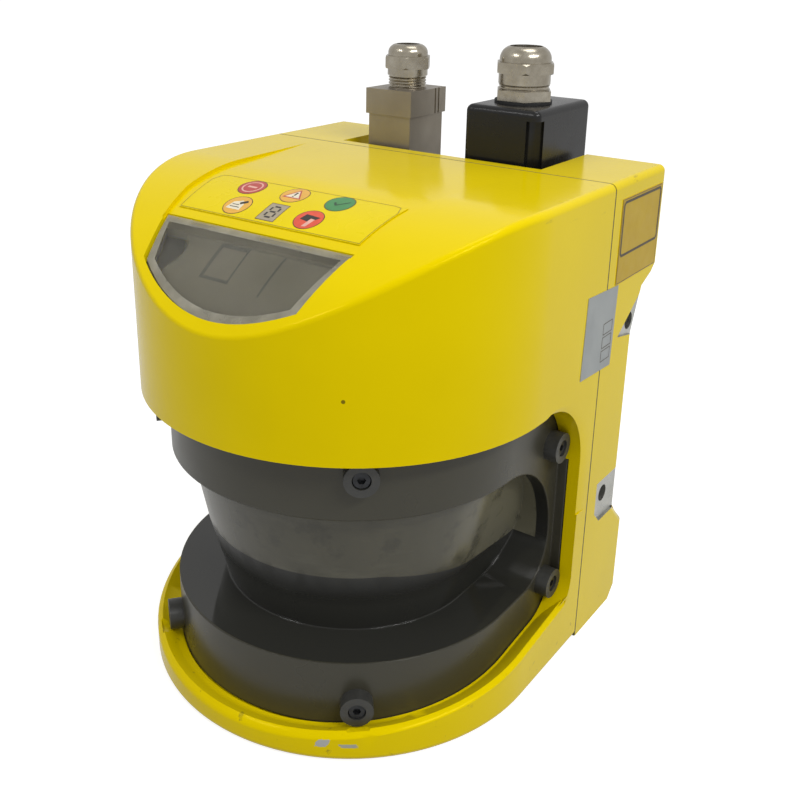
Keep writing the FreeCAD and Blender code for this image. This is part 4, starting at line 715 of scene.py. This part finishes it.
def crown_print(name, outlines, radius, material):
    """Outlines in flat millimetres, laid on the roof cylinder of the given radius."""
    shape = bmesh.new()
    for outline in outlines:
        shape.faces.new([shape.verts.new((px, py, 0)) for px, py in outline])
    low = min(vert.co.y for vert in shape.verts)
    high = max(vert.co.y for vert in shape.verts)
    for cut in range(1, int((high - low) / STRIP) + 1):
        bmesh.ops.bisect_plane(shape, geom=shape.verts[:] + shape.edges[:] + shape.faces[:],
                               plane_co=(0, low + cut * STRIP, 0), plane_no=(0, 1, 0))
    for vert in shape.verts:
        vert.co.z = CROWN_Z + math.sqrt(radius ** 2 - (vert.co.y - CROWN_Y) ** 2)
        vert.co *= MM
    for face in shape.faces:
        face.normal_update()
        if face.normal.z < 0:
            face.normal_flip()
    return finish_piece(name, shape, material)


# %% [markdown]
# Signs
#
# Each lamp has a round sign: a red one with a ring and a bar, an amber one with a triangle, a green
# one with a tick, an amber one with a pale sheet and an orange one with a dark field. A small picture
# of the digit stands between them. All are generic shapes without words.

# %% Signs on the foil
PRINT_R = 90.22
LAYER = 0.02
SIGN_R = 5.3
MIDDLE_X = -5.5


def ink(name, red, green, blue):
    """A printing ink."""
    return finish(name, tone(red, green, blue), tone(red * 0.94, green * 0.94, blue * 0.94), 500,
                  rough=(0.28, 0.36))[0]


ink_line = ink("ink_line", 92, 62, 20)
ink_red = ink("ink_red", 186, 70, 62)
ink_pink = ink("ink_pink", 232, 176, 160)
ink_amber = ink("ink_amber", 232, 176, 66)
ink_white = ink("ink_white", 236, 226, 200)
ink_green = ink("ink_green", 66, 138, 78)
ink_deep_green = ink("ink_deep_green", 26, 66, 36)
ink_orange = ink("ink_orange", 226, 84, 56)
ink_black = ink("ink_black", 44, 38, 32)
ink_grey = ink("ink_grey", 168, 156, 132)


def slope(middle_y):
    """How much a length along the roof shrinks when seen from straight above."""
    return math.sqrt(1 - ((middle_y - CROWN_Y) / PRINT_R) ** 2)


def sign(name, middle_x, middle_y, fill):
    """A round sign: a thin dark rim with a coloured disc on it."""
    squeeze = slope(middle_y)
    crown_print(name + "_rim", [circle(middle_x, middle_y, SIGN_R, squeeze)], PRINT_R, ink_line)
    crown_print(name + "_disc", [circle(middle_x, middle_y, SIGN_R - 0.3, squeeze)], PRINT_R + LAYER,
                fill)


REAR_ROW, FRONT_ROW = -26.1, -37.4
STOP_X, WARN_X, CLEAR_X = MIDDLE_X - 19, MIDDLE_X, MIDDLE_X + 19
CLEAN_X, DIGIT_X, FIELD_X = MIDDLE_X - 15.5, MIDDLE_X, MIDDLE_X + 15.2
sign("sign_stop", STOP_X, REAR_ROW, ink_red)
rear_squeeze, front_squeeze = slope(REAR_ROW), slope(FRONT_ROW)
crown_print("sign_stop_ring", loop_band(circle(STOP_X, REAR_ROW, 3.9, rear_squeeze),
                                        circle(STOP_X, REAR_ROW, 3.3, rear_squeeze)),
            PRINT_R + 2 * LAYER, ink_pink)
crown_print("sign_stop_bar", [stroke((STOP_X - 2, REAR_ROW), (STOP_X + 2, REAR_ROW), 1.1)],
            PRINT_R + 2 * LAYER, ink_pink)
sign("sign_warning", WARN_X, REAR_ROW, ink_amber)
warn_outer = [(WARN_X - 3.9, REAR_ROW - 2.3), (WARN_X + 3.9, REAR_ROW - 2.3),
              (WARN_X, REAR_ROW + 3.9)]
warn_inner = [(WARN_X - 2.9, REAR_ROW - 1.75), (WARN_X + 2.9, REAR_ROW - 1.75),
              (WARN_X, REAR_ROW + 2.9)]
crown_print("sign_warning_edge", loop_band(warn_outer, warn_inner), PRINT_R + 2 * LAYER, ink_red)
crown_print("sign_warning_field", [warn_inner], PRINT_R + 2 * LAYER, ink_white)
crown_print("sign_warning_mark", [stroke((WARN_X, REAR_ROW - 0.5), (WARN_X, REAR_ROW + 1.7), 0.7),
                                  stroke((WARN_X, REAR_ROW - 1.4), (WARN_X, REAR_ROW - 0.9), 0.7)],
            PRINT_R + 3 * LAYER, ink_black)
sign("sign_clear", CLEAR_X, REAR_ROW, ink_green)
tick = [stroke((CLEAR_X - 2.2, REAR_ROW + 0.2), (CLEAR_X - 0.7, REAR_ROW - 1.5), 0.8),
        stroke((CLEAR_X - 0.8, REAR_ROW - 1.5), (CLEAR_X + 2.9, REAR_ROW + 1.8), 0.6)]
crown_print("sign_clear_tick", tick, PRINT_R + 2 * LAYER, ink_deep_green)
sign("sign_wipe", CLEAN_X, FRONT_ROW, ink_amber)
crown_print("sign_wipe_field", [[(CLEAN_X - 3.4, FRONT_ROW - 2.4), (CLEAN_X + 2.6, FRONT_ROW - 2.4),
                                 (CLEAN_X + 2.2, FRONT_ROW + 0.6), (CLEAN_X + 0.6, FRONT_ROW + 2.6),
                                 (CLEAN_X - 2.6, FRONT_ROW + 1.2)]], PRINT_R + 2 * LAYER, ink_white)
wipe_marks = [stroke((CLEAN_X + 0.4, FRONT_ROW + 0.8), (CLEAN_X + 2.8, FRONT_ROW + 2.4), 1.3),
              stroke((CLEAN_X - 2.4, FRONT_ROW - 1.2), (CLEAN_X + 1.6, FRONT_ROW - 1.2), 0.35),
              stroke((CLEAN_X - 2.2, FRONT_ROW), (CLEAN_X + 0.6, FRONT_ROW), 0.35)]
crown_print("sign_wipe_mark", wipe_marks, PRINT_R + 3 * LAYER, ink_black)
sign("sign_field", FIELD_X, FRONT_ROW, ink_orange)
crown_print("sign_field_dark", [[(FIELD_X - 3.2, FRONT_ROW - 0.6), (FIELD_X + 1.2, FRONT_ROW - 1.4),
                                 (FIELD_X + 3.6, FRONT_ROW + 1.6), (FIELD_X - 2.4, FRONT_ROW + 2.2)]],
            PRINT_R + 2 * LAYER, ink_black)
crown_print("sign_field_pale", [[(FIELD_X - 0.2, FRONT_ROW - 3.8), (FIELD_X + 1.4, FRONT_ROW - 3.6),
                                 (FIELD_X + 2.4, FRONT_ROW + 0.2), (FIELD_X + 0.6, FRONT_ROW + 0.4)]],
            PRINT_R + 3 * LAYER, ink_pink)


def seven_segments(middle_x, middle_y, half_wide, half_high, width):
    """The seven bars of a digit, as quads."""
    left, right = middle_x - half_wide, middle_x + half_wide
    low, high = middle_y - half_high, middle_y + half_high
    gap = width * 0.7
    bars = [stroke((left + gap, level), (right - gap, level), width) for level in (low, middle_y, high)]
    for side in (left, right):
        bars.append(stroke((side, low + gap), (side, middle_y - gap), width))
        bars.append(stroke((side, middle_y + gap), (side, high - gap), width))
    return bars


FIELD_HALF_X, FIELD_HALF_Y = 3.9, 4.9
SQUARE = ((-1, -1), (1, -1), (1, 1), (-1, 1))
digit_field, digit_inner = (
    [(DIGIT_X + sx * (FIELD_HALF_X - inset), FRONT_ROW + sy * (FIELD_HALF_Y - inset) * front_squeeze)
     for sx, sy in SQUARE] for inset in (0.0, 0.3))
crown_print("sign_digit_edge", loop_band(digit_field, digit_inner), PRINT_R, ink_line)
crown_print("sign_digit_field", [digit_inner], PRINT_R, ink_grey)
crown_print("sign_digit_bars", seven_segments(DIGIT_X, FRONT_ROW, 1.7, 2.8, 0.75), PRINT_R + LAYER,
            ink_black)
print("inks", len([mat for mat in bpy.data.materials if mat.name.startswith("ink_")]))

# %% [markdown]
# Border of the foil
#
# The foil is as yellow as the paint, so only a hair-thin printed line shows where it ends.

# %% Foil border
FOIL_MIDDLE = -4.0
foil_outer = [(FOIL_MIDDLE - 38.2, -43.2), (FOIL_MIDDLE + 38.2, -43.2), (FOIL_MIDDLE + 39.9, -25.5),
              (FOIL_MIDDLE + 38.4, -21.6), (FOIL_MIDDLE + 35.6, -21.0), (FOIL_MIDDLE - 35.6, -21.0),
              (FOIL_MIDDLE - 38.4, -21.6), (FOIL_MIDDLE - 39.9, -25.5)]
foil_heart = (FOIL_MIDDLE, -32.0)
foil_inner = [(foil_heart[0] + (px - foil_heart[0]) * 0.995,
               foil_heart[1] + (py - foil_heart[1]) * 0.983) for px, py in foil_outer]
ink_hair = ink("ink_hair", 150, 128, 22)
crown_print("foil_border", loop_band(foil_outer, foil_inner), PRINT_R + 2 * LAYER, ink_hair)

# %% [markdown]
# Behind the pane
#
# The digit sits in a cut-out of the tray, and a dark frame round it is painted shadow in the gap. Its
# bars are unlit and pale. The same dark draws a line on the rib of the tray.

# %% Digit, painted shadow round it, and rib of the tray
TRAY_R = 82.96 + TRAY_LIFT
DIGIT_R = 86.06
gap_shadow_and_rib_dark = finish("gap_shadow_and_rib", tone(30, 28, 25), tone(38, 36, 32), 300, rough=(0.5, 0.6))[0]
gap_outer = [(-15.6, -61.2), (-3.1, -61.2), (-3.1, -48.9), (-15.6, -48.9)]
gap_inner = [(-14.1, -60.5), (-3.9, -60.5), (-3.9, -51.0), (-14.1, -51.0)]
# Painted shadow: a dark frame in the gap round the digit.
crown_print("digit_gap_shadow", loop_band(gap_outer, gap_inner), TRAY_R, gap_shadow_and_rib_dark)
crown_print("digit_bars", seven_segments(-8.8, -56.4, 2.2, 2.9, 0.75), DIGIT_R, segment_pale)
rib = crown_print("tray_rib", [stroke((11.5, -46.7), (10.4, -62.4), 0.9)], TRAY_R, gap_shadow_and_rib_dark)
print("rib", len(rib.data.polygons), "faces")

# %% [markdown]
# Painted highlight on the border of the pane
#
# The pane is chamfered all round, and the chamfer catches the light as a pale band about three
# millimetres wide. A thin pale ring on the pane paints that highlight.

# %% Painted highlight on the border of the pane
chamfer_highlight = bpy.data.materials.new("painted_chamfer_highlight")
chamfer_highlight.use_nodes = True
chamfer_highlight_shader = chamfer_highlight.node_tree.nodes["Principled BSDF"]
chamfer_highlight_shader.inputs["Roughness"].default_value = 0.2
chamfer_highlight_shader.inputs["Transmission Weight"].default_value = 0.0
cloud = ramp(chamfer_highlight, noise(chamfer_highlight, 120), 0.3, 0.7)
wire(chamfer_highlight, blend_tones(chamfer_highlight, cloud, tone(176, 172, 156), tone(150, 146, 130)),
     chamfer_highlight_shader.inputs["Base Color"])
clear_part = node_of(chamfer_highlight, "ShaderNodeBsdfTransparent")
chamfer_highlight_mix = node_of(chamfer_highlight, "ShaderNodeMixShader")
wire(chamfer_highlight, ramp(chamfer_highlight, noise(chamfer_highlight, 90, detail=4.0), 0.3, 0.7, 0.45, 0.75), chamfer_highlight_mix.inputs[0])
wire(chamfer_highlight, clear_part.outputs[0], chamfer_highlight_mix.inputs[1])
wire(chamfer_highlight, chamfer_highlight_shader.outputs[0], chamfer_highlight_mix.inputs[2])
wire(chamfer_highlight, chamfer_highlight_mix.outputs[0], chamfer_highlight.node_tree.nodes["Material Output"].inputs["Surface"])


def pane_outline(inset_x, rear_y, arc_radius, steps=18):
    """The pane's outline: a straight rear edge, slanted sides and a round front."""
    rear_left, rear_right = -44.0 + inset_x, 36.0 - inset_x
    front_left, front_right = -38.0 + inset_x, 30.0 - inset_x
    points = [(rear_right, rear_y), (rear_left, rear_y)]
    for step in range(steps + 1):
        px = front_left + (front_right - front_left) * step / steps
        points.append((px, -math.sqrt(arc_radius ** 2 - px ** 2)))
    return points


BORDER_R = 89.86
pane_band = loop_band(pane_outline(0.5, -47.6, 73.7), pane_outline(3.4, -50.0, 71.6))
border_piece = crown_print("pane_border", pane_band, BORDER_R, chamfer_highlight)
print("pane border", len(border_piece.data.polygons), "faces")

# %% [markdown]
# Labels on the side
#
# The amber label has a dark frame and a hair line at its edge, and stays bare. The grey sticker has
# three empty boxes. Both are drawn in the plane of the side.

# %% Frames on the side labels
PRINT_X = 77.76


def side_print(name, outlines, material):
    """Outlines in (y, z) millimetres on the right side."""
    shape = bmesh.new()
    for outline in outlines:
        shape.faces.new([shape.verts.new((PRINT_X * MM, py * MM, pz * MM)) for py, pz in outline])
    for face in shape.faces:
        face.normal_update()
        if face.normal.x < 0:
            face.normal_flip()
    return finish_piece(name, shape, material)


def frame_of(front_y, rear_y, low_z, high_z, width, corner):
    """A rectangular frame with slightly cut corners."""
    def outline(inset, cut):
        a, b, c, d = front_y + inset, rear_y - inset, low_z + inset, high_z - inset
        return [(a + cut, c), (b - cut, c), (b, c + cut), (b, d - cut), (b - cut, d), (a + cut, d),
                (a, d - cut), (a, c + cut)]
    return loop_band(outline(0, corner), outline(width, corner * 0.6))


side_print("label_frame", frame_of(53.0, 87.6, 157.0, 177.6, 1.0, 1.2), ink_dark)
side_print("label_edge", frame_of(52.2, 88.3, 147.2, 178.3, 0.25, 0.6), ink_line)
side_print("sticker_boxes", frame_of(44.6, 52.4, 130.0, 134.4, 0.3, 0.1)
           + frame_of(44.4, 52.2, 124.8, 129.2, 0.3, 0.1) + frame_of(44.2, 52.0, 119.6, 124.0, 0.3, 0.1),
           ink_dark)

# %% [markdown]
# Thread rings
#
# Above each hood a few turns of the gland's thread can be seen. One ring is turned on a lathe, so to
# speak, and Geometry Nodes repeats it along the axis with the thread's pitch.


# %% A ring, repeated by Geometry Nodes
def lathe(outline, middle_x, middle_y, steps=48):
    """Turn an outline of (radius, height) points round a vertical axis, in millimetres."""
    shape = bmesh.new()
    rings = []
    for step in range(steps):
        turn = 2 * math.pi * step / steps
        rings.append([shape.verts.new(((middle_x + radius * math.cos(turn)) * MM,
                                       (middle_y + radius * math.sin(turn)) * MM, height * MM))
                      for radius, height in outline])
    for step in range(steps):
        here, following = rings[step], rings[(step + 1) % steps]
        for i in range(len(outline)):
            j = (i + 1) % len(outline)
            shape.faces.new((here[i], following[i], following[j], here[j]))
    bmesh.ops.recalc_face_normals(shape, faces=shape.faces)
    return shape


def repeater():
    """A node tree that repeats its input along a step, realizes it and sets its material."""
    tree = bpy.data.node_groups.new("repeat_along", "GeometryNodeTree")
    for label, kind in (("Geometry", "NodeSocketGeometry"), ("Count", "NodeSocketInt"),
                        ("Step", "NodeSocketVector"), ("Material", "NodeSocketMaterial")):
        tree.interface.new_socket(label, in_out="INPUT", socket_type=kind)
    tree.interface.new_socket("Geometry", in_out="OUTPUT", socket_type="NodeSocketGeometry")
    start = tree.nodes.new("NodeGroupInput")
    line = tree.nodes.new("GeometryNodeMeshLine")
    copies = tree.nodes.new("GeometryNodeInstanceOnPoints")
    real = tree.nodes.new("GeometryNodeRealizeInstances")
    paint = tree.nodes.new("GeometryNodeSetMaterial")
    end = tree.nodes.new("NodeGroupOutput")
    join = tree.links.new
    join(start.outputs["Count"], line.inputs["Count"])
    join(start.outputs["Step"], line.inputs["Offset"])
    join(line.outputs["Mesh"], copies.inputs["Points"])
    join(start.outputs["Geometry"], copies.inputs["Instance"])
    join(copies.outputs["Instances"], real.inputs["Geometry"])
    join(real.outputs["Geometry"], paint.inputs["Geometry"])
    join(start.outputs["Material"], paint.inputs["Material"])
    join(paint.outputs["Geometry"], end.inputs[0])
    return tree


repeat_tree = repeater()
REPEAT_KEYS = {item.name: item.identifier for item in repeat_tree.interface.items_tree
               if item.in_out == "INPUT"}


def repeated(name, shape, count, step, material, sharp=50.0):
    """Make a piece out of one shape repeated along a step."""
    mesh = bpy.data.meshes.new(name)
    shape.to_mesh(mesh)
    shape.free()
    obj = bpy.data.objects.new(name, mesh)
    bpy.context.scene.collection.objects.link(obj)
    modifier = obj.modifiers.new("repeat", "NODES")
    modifier.node_group = repeat_tree
    modifier[REPEAT_KEYS["Count"]] = count
    modifier[REPEAT_KEYS["Step"]] = step
    modifier[REPEAT_KEYS["Material"]] = material
    settle(obj)
    obj.data.shade_smooth()
    obj.data.set_sharp_from_angle(angle=math.radians(sharp))
    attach(obj, "housing")
    print(name, len(obj.data.polygons), "faces")
    return obj


SMALL_AXIS, LARGE_AXIS = (-23.8, 65.2), (24.6, 73.4)
ring = [(7.1, -0.45), (7.45, -0.2), (7.65, 0.0), (7.45, 0.2), (7.1, 0.45)]
repeated("small_gland_thread", lathe([(r, 207.7 + h) for r, h in ring], *SMALL_AXIS), 4,
         (0, 0, 0.00115), nickel)
big_ring = [(9.3, -0.4), (9.6, -0.2), (9.75, 0.0), (9.6, 0.2), (9.3, 0.4)]
repeated("large_gland_thread", lathe([(r, 210.4 + h) for r, h in big_ring], *LARGE_AXIS), 2,
         (0, 0, 0.0011), nickel)

# %% [markdown]
# The camera
#
# The camera stands where the photograph was taken: a little above the head, 35 degrees round to the
# right of the front. Its sensor is shifted, because the object isn't in the middle of the picture.

# %% Camera
AZIMUTH = math.radians(34.92)
ELEVATION = math.radians(19.93)
ROLL = math.radians(1.12)
AIM = Vector((-0.01022, 0.03868, 0.11872))
DISTANCE = 0.41206
FOCAL_SHARE = 1017.62 / 800
SHIFT = ((400 - 392.73) / 800, (318.03 - 400) / 800)

back = Vector((math.sin(AZIMUTH) * math.cos(ELEVATION), -math.cos(AZIMUTH) * math.cos(ELEVATION),
               math.sin(ELEVATION)))
level_right = Vector((math.cos(AZIMUTH), math.sin(AZIMUTH), 0))
level_up = back.cross(level_right)
right = level_right * math.cos(ROLL) + level_up * math.sin(ROLL)
up = level_up * math.cos(ROLL) - level_right * math.sin(ROLL)
place = AIM + back * DISTANCE
lens = bpy.data.cameras.new("photo_camera")
lens.sensor_width = 36
lens.lens = FOCAL_SHARE * lens.sensor_width
lens.shift_x, lens.shift_y = SHIFT
lens.clip_start = 0.01
camera = bpy.data.objects.new("photo_camera", lens)
camera.matrix_world = Matrix(((right.x, up.x, back.x, place.x), (right.y, up.y, back.y, place.y),
                              (right.z, up.z, back.z, place.z), (0, 0, 0, 1)))
bpy.context.scene.collection.objects.link(camera)
bpy.context.scene.camera = camera
print("camera at", [round(value, 4) for value in place])

# %% [markdown]
# Floor and surroundings
#
# The floor is white and matt, so it throws soft light up under the rim, as a paper roll in a studio
# does. What the camera sees of it gets a little glow, which turns it into a clean white page but
# leaves the shadow at the foot.

# %% Floor and world
FLOOR_HALF = 40.0
shape = bmesh.new()
shape.faces.new([shape.verts.new((sx * FLOOR_HALF, sy * FLOOR_HALF, 0)) for sx, sy in SQUARE])
floor_mesh = bpy.data.meshes.new("floor")
shape.to_mesh(floor_mesh)
shape.free()
floor = bpy.data.objects.new("floor", floor_mesh)
bpy.context.scene.collection.objects.link(floor)
paper, paper_shader = finish("paper_floor", tone(180, 180, 180), tone(176, 176, 176), 3,
                             rough=(0.8, 0.9), specular=0.1)
rays = node_of(paper, "ShaderNodeLightPath")
seen = calc(paper, "MAXIMUM", calc(paper, "MAXIMUM", rays.outputs["Is Camera Ray"],
                                   rays.outputs["Is Transmission Ray"]),
            calc(paper, "MULTIPLY", rays.outputs["Is Glossy Ray"], 0.5))
paper_shader.inputs["Emission Color"].default_value = (1, 1, 1, 1)
wire(paper, calc(paper, "MULTIPLY", seen, 0.78), paper_shader.inputs["Emission Strength"])
floor_mesh.materials.append(paper)

world = bpy.data.worlds.new("studio")
world.use_nodes = True
sky = world.node_tree.nodes["Background"]
sky.inputs["Color"].default_value = (1, 1, 1, 1)
paths = node_of(world, "ShaderNodeLightPath")
open_air = calc(world, "MAXIMUM", paths.outputs["Is Camera Ray"], paths.outputs["Is Transmission Ray"])
mirrored = times(world, paths.outputs["Is Glossy Ray"], 0.1)
wire(world, calc(world, "ADD", ramp(world, open_air, 0.0, 1.0, 0.56, 1.0), mirrored),
     sky.inputs["Strength"])
bpy.context.scene.world = world
print("floor", FLOOR_HALF, "metres each way")

# %% [markdown]
# Lamps
#
# Bright streaks on the rounded edges tell where the lamps stood: one broad soft box to the right,
# one narrower box to the front left, and one high behind. Their sizes set how wide the streaks are.


# %% Soft boxes
def soft_box(name, azimuth, elevation, distance, width, height, power):
    """An area lamp that looks at the middle of the object."""
    lamp = bpy.data.lights.new(name, "AREA")
    lamp.shape = "RECTANGLE"
    lamp.size = width
    lamp.size_y = height
    lamp.energy = power
    obj = bpy.data.objects.new(name, lamp)
    turn, rise = math.radians(azimuth), math.radians(elevation)
    towards = Vector((math.sin(turn) * math.cos(rise), -math.cos(turn) * math.cos(rise), math.sin(rise)))
    obj.location = Vector((0, 0.02, 0.1)) + towards * distance
    obj.rotation_euler = towards.to_track_quat("Z", "Y").to_euler()
    bpy.context.scene.collection.objects.link(obj)
    return obj


soft_box("box_right", 74, 42, 1.1, 0.6, 0.12, 5.0)
soft_box("box_front_left", -24, 44, 1.1, 0.36, 0.1, 1.6)
soft_box("box_above", 150, 78, 1.2, 0.5, 0.5, 2.7)
print("lamps", [lamp.name for lamp in bpy.data.lights])
